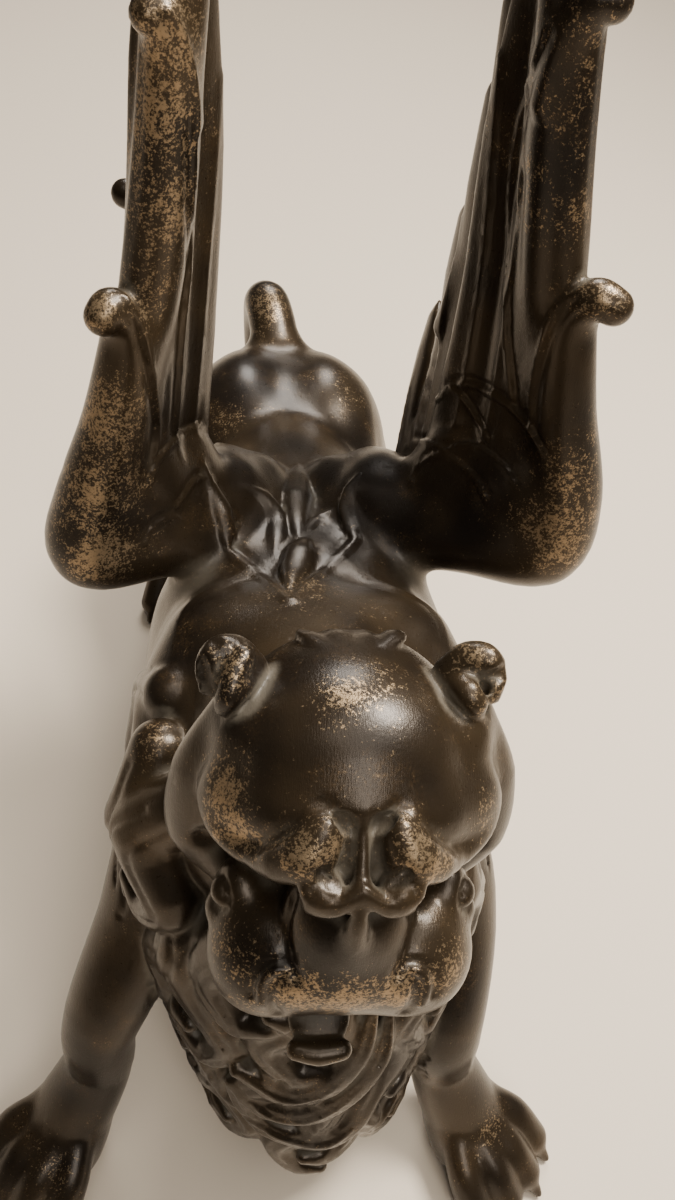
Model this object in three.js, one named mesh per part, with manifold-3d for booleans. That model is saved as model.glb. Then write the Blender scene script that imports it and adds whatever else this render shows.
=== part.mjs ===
// A small cast bronze griffin: a winged lion that stands on four splayed paws, with a heavy lobed
// brow, scrolled ears, a tongue between its lips, a mane of curling locks and two upright wings
// whose front edge is a chain of leaves, each with its tip curled outwards.
// Millimetres, +Z up. The griffin looks along -Y and stands on its four flat soles.
// The figure is modelled as a sculptor adds clay: balls and tapering strands melt into each other,
// hollows are cut back, and lines are drawn into the surface.
import * as THREE from "three";
import { mergeVertices } from "three/addons/utils/BufferGeometryUtils.js";
import Module from "manifold-3d";

// The trunk, in the frame of the ground under the middle of the body. Its length runs from the
// middle of the chest to the rump.
const BODY_LENGTH = 128;
const WITHERS_HEIGHT = 108;
const RUMP_HEIGHT = 94;
const CHEST_Y = -60;
const RUMP_Y = CHEST_Y + BODY_LENGTH;
const CHEST_RADIUS = 29;
const LOIN_RADIUS = 22;
const HAUNCH_RADIUS = 23;
const TAIL_RADIUS = 6;
// The legs: how wide each pair stands, how far a paw lies from the chest or rump and turns out.
const FORE_STANCE = 93;
const FORE_REACH = 44;
const HIND_STANCE = 52;
const HIND_REACH = 8;
const FORE_TURN = 38;
const HIND_TURN = 8;
const STANCE_SHIFT = 4.5;
const FOREARM_RADIUS = 8.6;
const SHANK_RADIUS = 7.2;
const TOE_RADIUS = 4.1;
const SOLE_CUT = 1.2;
// The head's middle lies before the chest and above the withers. It is turned a little.
const HEAD_FORWARD = 24;
const HEAD_RISE = 22;
const HEAD_YAW = -2;
const HEAD_ROLL = 0.5;
const NECK_PIVOT = [0, -20, 8];
const TONGUE_WIDTH = 9.4;
// The mane's bib, and the rows of locks that hang over it, measured down from the withers.
const BIB_WIDTH = 28.5;
const BIB_DEPTH = 44;
const MANE_ROWS = [
  { below: 0, drop: 30, around: 112, count: 9, width: 7.6 },
  { below: 20, drop: 30, around: 100, count: 10, width: 7.4 },
  { below: 41, drop: 28, around: 84, count: 9, width: 6.8 },
  { below: 58, drop: 22, around: 48, count: 6, width: 6 },
];
// The wings. Their points are drawn on a grid of this width and height, from the middle plane and
// up from the withers, and stretch with the wings' own spread and rise.
const WING_GRID = { spread: 85, rise: 132 };
const WING_SPREAD = 85;
const WING_RISE = 132;
const WING_LEAN = 3.2;
const WING_TIP_LEAN = 1.2;
const WING_LIFT = 3;
const WRIST_RADIUS = 8.5;
const CURL_RADIUS = 3;
const FEATHER_THICKNESS = 0.4;
const FRONT_THICKNESS = 0.52;
// Flight feathers from front to back: foot, bend and tip, half width, and the way that they face.
const FEATHERS = [
  { foot: [36.5, -16.5, 12], bend: [32, -11.5, 58], tip: [26.6, -4, 116], half: 5.5, turn: 42 },
  { foot: [32, -9.5, 8], bend: [29.5, -5.5, 56], tip: [25.6, 2, 104], half: 6, turn: 40 },
  { foot: [29.5, -4, 4], bend: [28, 2.5, 50], tip: [26, 9, 90], half: 6.2, turn: 32 },
  { foot: [27.5, 1, 1], bend: [27.4, 10.5, 38], tip: [27, 17, 70], half: 6.2, turn: 20 },
  { foot: [25.6, 4, -3], bend: [26.8, 16, 22], tip: [28, 25, 43], half: 6.2, turn: 8 },
  { foot: [23.6, 8, -8], bend: [25.6, 21, 4], tip: [27.4, 32, 16], half: 5.8, turn: 0 },
];
// Edges of the scales over the feet of the feathers, drawn from their left end to their right end.
const SCALE_EDGES = [
  [[20.8, 0.9, 16], [24, -2.7, 25.7], [32, -11, 26], [38.9, -19.2, 20]],
  [[18.6, 3.3, 4.6], [20, 2.4, 11], [23, -1.6, 12.6], [25.5, -4.4, 9]],
  [[24.6, -3.6, 9], [28.6, -7.9, 15.5], [33, -12.6, 16.4], [37, -17.1, 12.6]],
  [[20.4, 1.2, -3.5], [23, -2, 5.5], [26.8, -5.8, 9], [33.1, -12.8, 4]],
];
const SCALE_EDGE_WIDTH = 1.3;
// Leaves on the back: foot, belly and point, seen from above, and half width.
const BACK_LEAVES = [
  { foot: [-14, -15], belly: [-17.5, -3], point: [-20, 14], half: 3.2 },
  { foot: [11, -13], belly: [15.4, 0], point: [18.6, 14], half: 3.2 },
  { foot: [-3, -16.4], belly: [-9.6, -4], point: [-12, 8], half: 3.4 },
  { foot: [0, -16.4], belly: [7, -3], point: [13, 9], half: 3.4 },
];
// The two pointed collars that hold the leaves, one inside the other.
const BACK_COLLARS = [
  [[-14, -15], [-8.6, -23.6], [-3, -30.6], [4.4, -23.6], [10.8, -13.4]],
  [[-8.2, -15], [-5.4, -20], [-2.2, -26], [1.4, -20], [4.4, -15]],
];
const COLLAR_WIDTH = 1.3;
// How finely the clay is sampled, and how many triangles the finished surface keeps.
const CELL = 1.35;
const KEPT_TRIANGLES = 9500;
const LONG_EDGE_COST = 2e-4;
// The face keeps its shape more closely than the rest: how much dearer it is to change, and where.
const FACE_CARE = 5;
const FACE_REACH = 30;

// The figure: a list of steps, each with the box that it can reach.
const steps = [];
const V = (p) => (p.isVector3 ? p.clone() : new THREE.Vector3(...p));
const mirror = (side, p) => [side * p[0], p[1], p[2]];

// A ball or egg. Its radii lie along its own axes, which turn by Euler degrees.
function ball(centre, radii, turn = [0, 0, 0]) {
  const [rx, ry, rz] = Array.isArray(radii) ? radii : [radii, radii, radii];
  const angles = turn.map(THREE.MathUtils.degToRad);
  const m = new THREE.Matrix4().makeRotationFromEuler(new THREE.Euler(...angles, "XYZ")).elements;
  const [cx, cy, cz] = V(centre).toArray();
  const reach = Math.max(rx, ry, rz);
  const distance = (x, y, z) => {
    const [dx, dy, dz] = [x - cx, y - cy, z - cz];
    const u = (dx * m[0] + dy * m[1] + dz * m[2]) / rx;
    const v = (dx * m[4] + dy * m[5] + dz * m[6]) / ry;
    const w = (dx * m[8] + dy * m[9] + dz * m[10]) / rz;
    const k0 = Math.hypot(u, v, w);
    const k1 = Math.hypot(u / rx, v / ry, w / rz);
    return k1 > 1e-9 ? (k0 * (k0 - 1)) / k1 : -Math.min(rx, ry, rz);
  };
  const box = new THREE.Box3().setFromCenterAndSize(V(centre), V([2 * reach, 2 * reach, 2 * reach]));
  return { distance, box };
}

// A tapering strand along a smooth curve through its points. A thin one is flattened along face.
function strand(points, radii, { face = null, thin = 1, fine = 3 } = {}) {
  const curve = new THREE.CatmullRomCurve3(points.map(V), false, "centripetal");
  const faces = face && (Array.isArray(face[0]) ? face : points.map(() => face)).map((f) => V(f).normalize());
  const count = (points.length - 1) * fine;
  const along = (list, t) => {
    const i = Math.min(Math.floor(t), list.length - 2);
    return [list[i], list[i + 1], t - i];
  };
  const stations = Array.from({ length: count + 1 }, (_, i) => {
    const t = (i / count) * (points.length - 1);
    const [ra, rb, k] = along(radii, t);
    const p = curve.getPoint(i / count);
    const n = faces ? along(faces, t)[0].clone().lerp(along(faces, t)[1], k).normalize() : V([0, 0, 0]);
    return { p, r: THREE.MathUtils.lerp(ra, rb, k), n };
  });
  const box = new THREE.Box3();
  for (const { p, r } of stations) {
    box.expandByPoint(p.clone().addScalar(r));
    box.expandByPoint(p.clone().subScalar(r));
  }
  const pieces = stations.slice(1).map((b, i) => {
    const a = stations[i];
    const d = b.p.clone().sub(a.p);
    const inverse = 1 / Math.max(d.lengthSq(), 1e-9);
    return [...a.p.toArray(), ...d.toArray(), inverse, a.r, b.r, ...b.n.toArray()];
  });
  const distance = (x, y, z) => {
    let best = 1e9;
    for (const [ax, ay, az, dx, dy, dz, inv, ra, rb, nx, ny, nz] of pieces) {
      const [px, py, pz] = [x - ax, y - ay, z - az];
      const t = Math.min(1, Math.max(0, (px * dx + py * dy + pz * dz) * inv));
      const [qx, qy, qz] = [px - t * dx, py - t * dy, pz - t * dz];
      const r = ra + (rb - ra) * t;
      const all = qx * qx + qy * qy + qz * qz;
      let d;
      if (thin === 1) d = Math.sqrt(all) - r;
      else {
        const w = qx * nx + qy * ny + qz * nz;
        const u2 = Math.max(0, all - w * w) / (r * r);
        const w2 = (w * w) / (r * r * thin * thin);
        const k0 = Math.sqrt(u2 + w2);
        const k1 = Math.sqrt(u2 + w2 / (thin * thin)) / r;
        d = k1 > 1e-9 ? (k0 * (k0 - 1)) / k1 : -r * thin;
      }
      if (d < best) best = d;
    }
    return best;
  };
  return { distance, box };
}

const add = (shape, blend = 1) => steps.push({ kind: "add", ...shape, blend, margin: blend + 1 });
const cut = (shape, blend = 1) => steps.push({ kind: "cut", ...shape, blend, margin: blend + 1 });
function softMin(a, b, k) {
  const h = Math.max(k - Math.abs(a - b), 0) / k;
  return Math.min(a, b) - (h * h * k) / 4;
}

function clay(list, x, y, z) {
  let f = 1e3;
  for (const s of list) {
    const d = s.distance(x, y, z);
    if (s.kind === "add") f = softMin(f, d, s.blend);
    else if (s.kind === "cut") f = -softMin(-f, d, s.blend);
    else f += s.depth * Math.exp(-((d / s.width) ** 2));
  }
  return f;
}

// The stations of a smooth curve, each moved along a direction until it lies on the surface.
function laid(points, toward, fine = 3) {
  const START_BACK = 9;
  const dir = V(toward).normalize();
  const curve = new THREE.CatmullRomCurve3(points.map(V), false, "centripetal");
  const reach = new THREE.Box3().setFromPoints(points.map(V)).expandByScalar(3 * START_BACK);
  const near = steps.filter((s) => s.box.intersectsBox(reach));
  return curve.getPoints((points.length - 1) * fine).map((p) => {
    const q = p.addScaledVector(dir, -START_BACK);
    for (let i = 0; i < 3 * START_BACK; i++) {
      const f = clay(near, q.x, q.y, q.z);
      if (f < 0.05) break;
      q.addScaledVector(dir, THREE.MathUtils.clamp(0.7 * f, 0.1, 1));
    }
    return q;
  });
}

// A line raised from the surface where the curve falls on it, or pressed into it.
function drawn(points, toward, width, depth) {
  const spots = laid(points, toward);
  const course = strand(spots, spots.map(() => 0), { fine: 1 });
  steps.push({ kind: "line", ...course, width, depth, margin: width * 2.2 });
}

// The trunk: a deep chest, broad withers, a drawn-in waist and round haunches.
add(strand(
  [[0, CHEST_Y + 4, WITHERS_HEIGHT - 30], [0, CHEST_Y + 32, WITHERS_HEIGHT - 25],
    [0, CHEST_Y + 68, WITHERS_HEIGHT - 28],
    [0, RUMP_Y - 30, RUMP_HEIGHT - 21], [0, RUMP_Y, RUMP_HEIGHT - 24]],
  [CHEST_RADIUS, CHEST_RADIUS - 3, LOIN_RADIUS + 1, LOIN_RADIUS - 2, LOIN_RADIUS - 2],
), 2);
add(ball([-0.5, CHEST_Y + 34, WITHERS_HEIGHT - 20], [CHEST_RADIUS - 1, 24, 18]), 9);
add(ball([0, CHEST_Y + 2, WITHERS_HEIGHT - 32], [CHEST_RADIUS - 1, CHEST_RADIUS + 3, CHEST_RADIUS + 5]), 14);
// The smooth neck rises from the back and runs down into a rounded tongue on each shoulder.
add(strand([[-1.5, CHEST_Y + 26, WITHERS_HEIGHT - 24], [-1.5, CHEST_Y + 6, WITHERS_HEIGHT - 10],
  [0, CHEST_Y - HEAD_FORWARD / 2, WITHERS_HEIGHT + HEAD_RISE - 16]], [23, 22.5, 18]), 20);
for (const side of [-1, 1]) {
  const hip = mirror(side, [13, RUMP_Y - 12, RUMP_HEIGHT - 22]);
  add(ball(hip, [12, HAUNCH_RADIUS - 1, HAUNCH_RADIUS], [0, -8 * side, 0]), 8);
  add(strand([[17, CHEST_Y + 16, WITHERS_HEIGHT - 2], [25, CHEST_Y + 5, WITHERS_HEIGHT - 8],
    [27.5, CHEST_Y - 3, WITHERS_HEIGHT - 17]].map((p) => mirror(side, p)), [9, 6.4, 4]), 9);
}

// Legs: shoulder, forearm and wrist, then thigh, knee, hock and pastern.
for (const side of [-1, 1]) {
  const paw = [FORE_STANCE / 2 - side * STANCE_SHIFT, CHEST_Y - FORE_REACH - side * 1.5, 8.5];
  const wrist = [paw[0] - 10, paw[1] + 11, 27];
  add(ball(mirror(side, [20, CHEST_Y, WITHERS_HEIGHT - 34]), [13, 19, 25]), 8);
  add(strand([[21, CHEST_Y, WITHERS_HEIGHT - 30], [30, CHEST_Y - 14, WITHERS_HEIGHT - 48],
    [wrist[0] - 1, wrist[1] + 3, 40], wrist, [paw[0] - 4, paw[1] + 5, 13]].map((p) => mirror(side, p)),
  [14, FOREARM_RADIUS + 1.5, FOREARM_RADIUS - 1, FOREARM_RADIUS - 1.6, FOREARM_RADIUS]), 5);
  pawAt(side, paw, FORE_TURN);
  const hind = [HIND_STANCE / 2, RUMP_Y - HIND_REACH, 7.5];
  const thigh = mirror(side, [16, RUMP_Y - 16, RUMP_HEIGHT - 28]);
  add(ball(thigh, [12, HAUNCH_RADIUS - 3, HAUNCH_RADIUS + 1], [-14, 0, 0]), 8);
  add(strand([[17, RUMP_Y - 14, RUMP_HEIGHT - 30], [20, RUMP_Y - 25, RUMP_HEIGHT - 43], [21, RUMP_Y - 10, 42],
    [22, hind[1] + 17, 33], [hind[0] - 2, hind[1] + 12, 17], [hind[0], hind[1] + 3, hind[2]]]
    .map((p) => mirror(side, p)),
  [13, SHANK_RADIUS + 2.2, SHANK_RADIUS, SHANK_RADIUS - 1.2, SHANK_RADIUS - 1, SHANK_RADIUS + 0.3]), 4);
  pawAt(side, hind, HIND_TURN);
}

// A paw: a pad, four round toes with their tendons, and the tips of the claws.
function pawAt(side, [px, py, pz], turn) {
  const a = THREE.MathUtils.degToRad(turn);
  const place = (across, ahead, up) => mirror(side, [
    px + across * Math.cos(a) + ahead * Math.sin(a),
    py - ahead * Math.cos(a) + across * Math.sin(a),
    up,
  ]);
  add(ball(place(0, -1, pz - 1), [10, 10, 8]), 4);
  for (const [i, reach] of [9.5, 12.5, 12, 8.5].entries()) {
    const across = (i - 1.5) * TOE_RADIUS * 1.5;
    const bones = [place(across * 0.45, -5, 15), place(across * 0.9, reach - 6, 10.5),
      place(across * 1.05, reach, 5)];
    add(strand(bones,
      [TOE_RADIUS * 0.73, TOE_RADIUS * 0.95, TOE_RADIUS]), 1.4);
    add(strand([place(across * 1.05, reach + 2, 5), place(across * 1.1, reach + 5.6, 2.6)], [2, 0.9]), 0.8);
  }
}

// The tail rises from the rump, bends over and hangs down to a tuft of three locks.
add(strand(
  [[0, RUMP_Y + 6, RUMP_HEIGHT - 18], [-2, RUMP_Y + 14, RUMP_HEIGHT - 6],
    [-4, RUMP_Y + 22.5, RUMP_HEIGHT - 2], [-5, RUMP_Y + 31.5, RUMP_HEIGHT - 12],
    [-4, RUMP_Y + 35, RUMP_HEIGHT - 34], [-1, RUMP_Y + 33, RUMP_HEIGHT - 53]],
  [3, 0.6, 0.2, -0.8, -1.6, -2].map((more) => TAIL_RADIUS + more),
), 5);
for (const swing of [-1, 0, 1])
  add(strand([[-1, RUMP_Y + 33, RUMP_HEIGHT - 48], [-1 + swing * 5, RUMP_Y + 34 + swing, RUMP_HEIGHT - 60],
    [1 + swing * 3, RUMP_Y + 31, RUMP_HEIGHT - 72], [3 + swing * 6, RUMP_Y + 33, RUMP_HEIGHT - 79]],
  [3, 5, 4, 1.2]), 1.2);

// The mane hangs in rows of locks from a full bib, which is widest above the forelegs.
const bib = (angle, below, lift) => {
  const t = THREE.MathUtils.clamp(1 - below / 78, 0, 1);
  const swell = Math.sin(Math.min(1, t * 1.6) * Math.PI * 0.5);
  const wide = BIB_WIDTH * THREE.MathUtils.lerp(0.8, 1, swell) + lift;
  const deep = BIB_DEPTH * THREE.MathUtils.lerp(1, 0.6, t) + lift;
  const a = THREE.MathUtils.degToRad(angle);
  return [wide * Math.sin(a) + 4 * (1 - t) - 1.5, CHEST_Y - 4 - deep * Math.cos(a), WITHERS_HEIGHT - below];
};
for (const below of [10, 26, 41, 55, 66]) {
  const [front, flank] = [bib(0, below, -6), bib(90, below, -5)];
  const back = CHEST_Y - 8;
  const cheek = [front[0], (front[1] + back) / 2, front[2]];
  add(ball(cheek, [flank[0] - front[0], (back - front[1]) / 2 + 3, 13]), 6);
}
for (const [row, { below, drop, around, count, width }] of MANE_ROWS.entries())
  for (let i = 0; i < count; i++) {
    const angle = THREE.MathUtils.lerp(-around, around, i / (count - 1));
    const swing = ((i + row) % 2 ? 1 : -1) * 11;
    const long = drop * (1 + 0.16 * Math.sin(i * 2.4 + row * 1.3));
    add(strand([bib(angle, below, -3), bib(angle + swing * 0.9, below + long * 0.35, 0.6),
      bib(angle - swing * 0.4, below + long * 0.74, 2.2), bib(angle + swing * 0.4, below + long, 4.4),
      bib(angle + swing * 1.2, below + long * 0.93, 6)],
    [width * 0.7, width, width * 0.7, width * 0.46, width * 0.24]), 0.9);
  }

// The head: a flat-domed skull, and a heavy brow with an outer and an inner lobe on each side.
const pivot = V(NECK_PIVOT);
const [roll, yaw] = [-HEAD_ROLL, HEAD_YAW].map(THREE.MathUtils.degToRad);
const headTurn = new THREE.Euler(0, roll, yaw, "ZYX");
const headPlace = V([0, CHEST_Y - HEAD_FORWARD, WITHERS_HEIGHT + HEAD_RISE]).add(pivot);
const at = (x, y, z) => V([x, y, z]).sub(pivot).applyEuler(headTurn).add(headPlace).toArray();
add(ball(at(-0.8, 1.5, 3.5), [17, 16, 16.5]), 4);
add(ball(at(-0.6, -3.2, 9), [14.6, 11.4, 11.2]), 5);
add(ball(at(0, 6, -8), [18, 16, 22]), 6);
add(ball(at(0, -7, -16), [13.4, 12, 16]), 4);
add(strand([at(-14, -5, 3.4), at(-8, -10.2, 8), at(0, -11, 10.4), at(8, -10.2, 8), at(14, -5, 3.4)],
  [6.2, 6, 5, 6, 6.2]), 2.4);
for (const side of [-1, 1]) {
  const h = (x, y, z) => at(side * x, y, z);
  add(ball(h(13.2, -4.8, 2.8), [7.2, 8.4, 8], [0, -16 * side, 0]), 2);
  add(strand([h(18.6, -5.6, 3), h(17.2, -10, 2.4), h(14.2, -13.4, 3), h(11.8, -15.4, 4.6)],
    [2, 2, 2, 1.8]), 1.2);
  add(strand([h(12.2, -15.8, 4.6), h(9.4, -16.6, 6.6), h(6.6, -16.9, 8.8), h(5, -15.3, 12)],
    [1.7, 3.2, 3.9, 2.9]), 0.8);
  add(ball(h(13.6, 0.4, 9), [5.6, 6, 6.4]), 2.4);
  // The leaf-shaped ruff that frames the face, and the hollow under the brow.
  add(strand([h(16, 3, 12), h(20, 0.5, -1), h(20.8, -1.5, -13), h(16.5, -5, -21)], [3, 5, 5.4, 3],
    { face: mirror(side, [0.5, -0.85, 0]), thin: 0.85 }), 1.6);
  cut(strand([h(3, -21, 1.6), h(9.6, -18.4, -0.8), h(14.6, -13.6, -3.8), h(20, -7.5, -9)],
    [1.6, 3, 3.2, 3]), 0.7);
}
// The bridge of the nose lies in a trough between the inner lobes.
cut(strand([at(-3, -15, 13.8), at(0, -15.8, 12.8), at(3.2, -15, 13.8)], [1, 1.9, 1]), 0.4);
cut(strand([at(0.1, -17, 13), at(0.2, -18.4, 11.4), at(0.2, -20.2, 9)], [1.6, 2.3, 2.6]), 0.6);
add(ball(at(0.2, -13.4, 2.8), [6, 6.6, 8.2]), 1);
for (const side of [-1, 1]) {
  const h = (x, y, z) => at(side * x, y, z);
  // Cheek, and the eye in its upper corner.
  add(ball(h(9.8, -17.2, -19.4), [8.6, 9, 12.4], [6, 0, -6 * side]), 1.6);
  add(ball(h(14.4, -12.4, -13), [4.2, 5, 7]), 2);
  cut(ball(h(18.2, -14.4, -9.4), [2.6, 3.2, 2.8]), 0.8);
  add(ball(h(16.8, -13.4, -9.8), [2, 2.4, 1.9]), 0.3);
  add(ball(h(17.6, -13.8, -14), [1.9, 2.4, 2.2]), 0.7);
}
add(ball(at(0, -17.8, -8.6), [9.2, 8.8, 10.8]), 0.8);
add(strand([at(-10.2, -18.8, -18), at(0, -19.4, -17.4), at(10.2, -18.8, -18)], [8, 8.4, 8]), 2);
add(strand([at(-6.4, -22.6, -14.4), at(0, -23.4, -14), at(6.4, -22.6, -14.4)], [4.6, 4.6, 4.6]), 2.4);
// Ears: each a short horn rolled forward into an open scroll.
for (const [side, shift] of [[-1, 1.9], [1, 0.2]]) {
  const h = (x, y, z) => at(side * (x + shift), y + 1.6, z + 0.8);
  add(strand([h(12.6, 4, 15.6), h(14.6, 4.6, 18.4), h(16.6, 4, 19.2), h(17.8, 2.6, 18), h(17.6, 1, 15.4)],
    [2.6, 2.3, 2, 1.8, 1.5]), 1);
  add(strand([h(13.2, 2, 15.6), h(14, 0.2, 16.8), h(15, -0.8, 16), h(15.4, -1, 14.4)],
    [2.2, 2.1, 1.9, 1.4]), 0.8);
  add(ball(h(15.6, 2.6, 15.2), [2.8, 1.8, 3.4]), 0.6);
}
// Bridge, nostril wings, the tip of the nose and the ridge that runs down from it.
add(strand([at(0, -13, 13.6), at(0.1, -15, 12), at(0.2, -17.2, 10), at(0.2, -19.6, 8), at(0.2, -21.6, 6.4)],
  [2, 0.95, 0.9, 1, 1.7]), 0.7);
for (const side of [-1, 1]) {
  const h = (x, y, z) => at(side * x, y, z);
  add(ball(h(5.2, -20.4, 4.6), [3, 3.2, 3.2]), 0.4);
  add(strand([h(7.2, -21, 5), h(6.6, -20.4, 7.4), h(4.8, -20.8, 8.4), h(3, -21.4, 7.8)],
    [1.2, 1.1, 1, 0.7]), 0.5);
  add(strand([at(0.2, -21.6, 7), h(2.2, -22.8, 6), h(4.4, -23.8, 4), h(6.8, -23, 3)], [1.3, 1, 1.1, 1]), 0.5);
}
add(strand([at(-3.2, -23.6, 4.6), at(0.2, -23.8, 6), at(4.4, -23.4, 4.6)], [0.6, 1.5, 0.6]), 0.5);
add(strand([at(0.1, -24, 5.6), at(0.1, -24.8, 3.4), at(0.1, -24.6, 0), at(0.1, -23.6, -5)],
  [1.2, 1, 1.4, 2.6]), 1.2);
// Creases beside the upper lip, and the folds at the corners of the mouth.
const ALONG_GAZE = [0.1, 0.4, -0.9];
for (const side of [-1, 1]) {
  const h = (x, y, z) => at(side * x, y, z);
  drawn([h(7.8, -18.4, -1.4), h(8.5, -20.4, -5), h(8.2, -22.6, -8.6), h(6.7, -25, -11.4)],
    ALONG_GAZE, 1.2, 1.4);
  drawn([h(10.2, -22.4, -9.6), h(11.6, -22.6, -12), h(12.2, -23, -15), h(11.6, -24, -19)],
    ALONG_GAZE, 1.5, 1.1);
}
// The hollow under the lip, the chin and the tongue, whose tip is rolled up.
cut(ball(at(0, -19, -30.4), [9.5, 9, 5.2]), 1.2);
add(ball(at(0, -8, -35), [12, 10, 6]), 3);
const tongueHalf = TONGUE_WIDTH / 2;
add(strand([at(-2.2, -12, -26), at(-2.3, -20, -26.8), at(-2.4, -24.6, -28.2), at(-2.5, -26.6, -28.8)],
  [tongueHalf, tongueHalf, tongueHalf, tongueHalf * 0.77], { face: [0, -0.2, 1], thin: 0.28 }), 0.6);
add(strand([at(-1.1 - tongueHalf, -29.4, -28.4), at(-2.5, -29.8, -28.6), at(tongueHalf - 3.8, -29.4, -28.4)],
  [1.5, 1.8, 1.5]), 0.8);
// Small locks lie on the crown behind the forehead.
for (const [across, ahead, size] of [[-6, 0.4, 0.9], [-2.4, 0, 1], [1.6, 0.3, 0.9], [5.4, -0.2, 1.1]])
  add(strand([at(across * 0.7, 9 - ahead, 18.2), at(across, 11.6 - ahead, 17.2), at(across * 1.2, 14.6, 14)],
    [0.9 * size, 1.9 * size, 1], { face: [0, 0.5, 0.85], thin: 0.6 }), 0.6);

// Wings. Seen from above each one wraps the back like a cupped hand; the front edge flares outwards.
for (const side of [-1, 1]) {
  const { smoothstep } = THREE.MathUtils;
  const w = (x, y, z) => [
    (side * x * WING_SPREAD) / WING_GRID.spread
      + WING_LEAN * smoothstep(z, -10, 22) - WING_TIP_LEAN * smoothstep(z, 62, 100),
    y,
    WITHERS_HEIGHT + (z * WING_RISE) / WING_GRID.rise + side * WING_LIFT * smoothstep(z, -18, 42),
  ];
  const facing = (degrees) => {
    const a = THREE.MathUtils.degToRad(degrees);
    return [side * Math.cos(a), Math.sin(a), 0];
  };
  add(ball(w(15, -6, -6), [10, 20, 13], [0, 24 * side, 0]), 8);
  add(strand([w(18, -6, -3), w(28, -13, 5)], [11, 9]), 6);
  // Broad foot of the wing, and the plate that carries the feathers.
  add(ball(w(30.4, -14.2, 9), [6.4, 15, 14.5], [0, 0, 42 * side]), 4);
  add(strand([w(31, -12, 8), w(29.6, -9.6, 42), w(26.6, -6, 74), w(25, -5, 100)], [13, 11.5, 9, 6],
    { face: facing(42), thin: 0.2 }), 2);
  for (const { foot, bend, tip, half, turn } of FEATHERS) {
    const shaft = V(bend).lerp(V(tip), 0.55).toArray();
    const point = V(tip).add(V([0.6, 3.4, 3.6])).toArray();
    add(strand([w(...foot), w(...bend), w(...shaft), w(...tip), w(...point)],
      [half, half, half, half * 0.78, half * 0.22], { face: facing(turn), thin: FEATHER_THICKNESS }), 0.7);
  }
  // The smooth front that joins the leaves of the edge to the feathers.
  add(strand([w(36.4, -19.4, 12), w(35, -17.8, 30), w(33, -15.8, 46), w(31, -14.2, 62),
    w(28.6, -12.4, 80), w(26.6, -10.8, 100), w(26, -10, 116)],
    [10, 8.6, 7.4, 6.6, 5.8, 5, 3.6], { face: facing(42), thin: FRONT_THICKNESS }), 2.4);
  // The front edge: upper leaves, each curled outwards at the tip into a small ball.
  add(strand([w(39, -20.6, 28), w(33, -18.4, 52), w(28.8, -15.8, 74), w(26.8, -14.2, 94)], [6, 5.6, 5, 4],
    { face: facing(44), thin: 0.66 }), 1);
  add(strand([w(26, -14, 84), w(26.8, -14.6, 92), w(28.4, -15.8, 98), w(30 + 0.6 * side, -16, 98)],
    [CURL_RADIUS, CURL_RADIUS + 0.2, CURL_RADIUS - 0.1, CURL_RADIUS - 0.3]), 1);
  add(strand([w(28, -13.6, 76), w(25.6, -12.2, 98), w(24, -10, 116), w(24.5, -11, 124),
    w(28, -13, WING_GRID.rise - 4.6)],
    [4.4, 4.4, 3.8, 3.1, 2.6], { face: facing(44), thin: 0.7 }), 1);
  // The first leaf rises from the wrist.
  add(strand([w(19, -15, 0), w(31, -23, 6), w(42.3, -27, 9.5), w(42.8, -26, 20), w(38.4, -24, 37),
    w(35.8, -22, 52)],
    [5.6, WRIST_RADIUS - 1.5, WRIST_RADIUS, WRIST_RADIUS - 1.5, 5, 3.4]), 5);
  add(ball(w(35.4, -20.4, 13.5), [7.4, 10, 13], [0, 0, 42 * side]), 5);
  add(strand([w(34.6, -19.8, 38), w(34.8, -20.4, 48), w(35.6, -21.6, 55), w(37.6, -23.6, 59),
    w(39.4 + 0.8 * side, -24.6, 58.4)],
    [CURL_RADIUS + 0.6, CURL_RADIUS + 1, CURL_RADIUS + 0.8, CURL_RADIUS + 0.3, CURL_RADIUS]), 1.2);
  // On the outer side a back feather ends in a curl that stands away from the blade.
  add(strand([w(26, 14, 28), w(29, 15, 46), w(33.6, 16, 55), w(38, 16.5, 56.4)], [3.8, 3.6, 2.9, 2.6]), 1);
  for (const edge of SCALE_EDGES) drawn(edge.map((p) => w(...p)), facing(42), SCALE_EDGE_WIDTH, -1.2);
}

// A palmette lies on the back between the wings: four leaves and a bud held by two pointed collars.
const DOWN = [0, 0, -1];
const overBack = ([x, y]) => [x, y, WITHERS_HEIGHT + 4];
for (const { foot, belly, point, half } of BACK_LEAVES) {
  const spots = laid([foot, belly, point].map(overBack), DOWN, 4);
  add(strand(spots, [0.2, 0.6, 0.86, 1, 0.98, 0.86, 0.62, 0.36, 0.12].map((share) => share * half),
    { face: [0, 0.1, 1], thin: 0.4, fine: 1 }), 0.5);
}
add(strand(
  [[-1.5, -18, WITHERS_HEIGHT], [-0.3, -3, WITHERS_HEIGHT + 1.4], [1, 14, WITHERS_HEIGHT - 1.4]],
  [0.8, 4.8, 0.6],
  { face: [0, 0.1, 1], thin: 0.46 }), 0.4);
for (const collar of BACK_COLLARS) drawn(collar.map(overBack), DOWN, COLLAR_WIDTH, -1.1);

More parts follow.
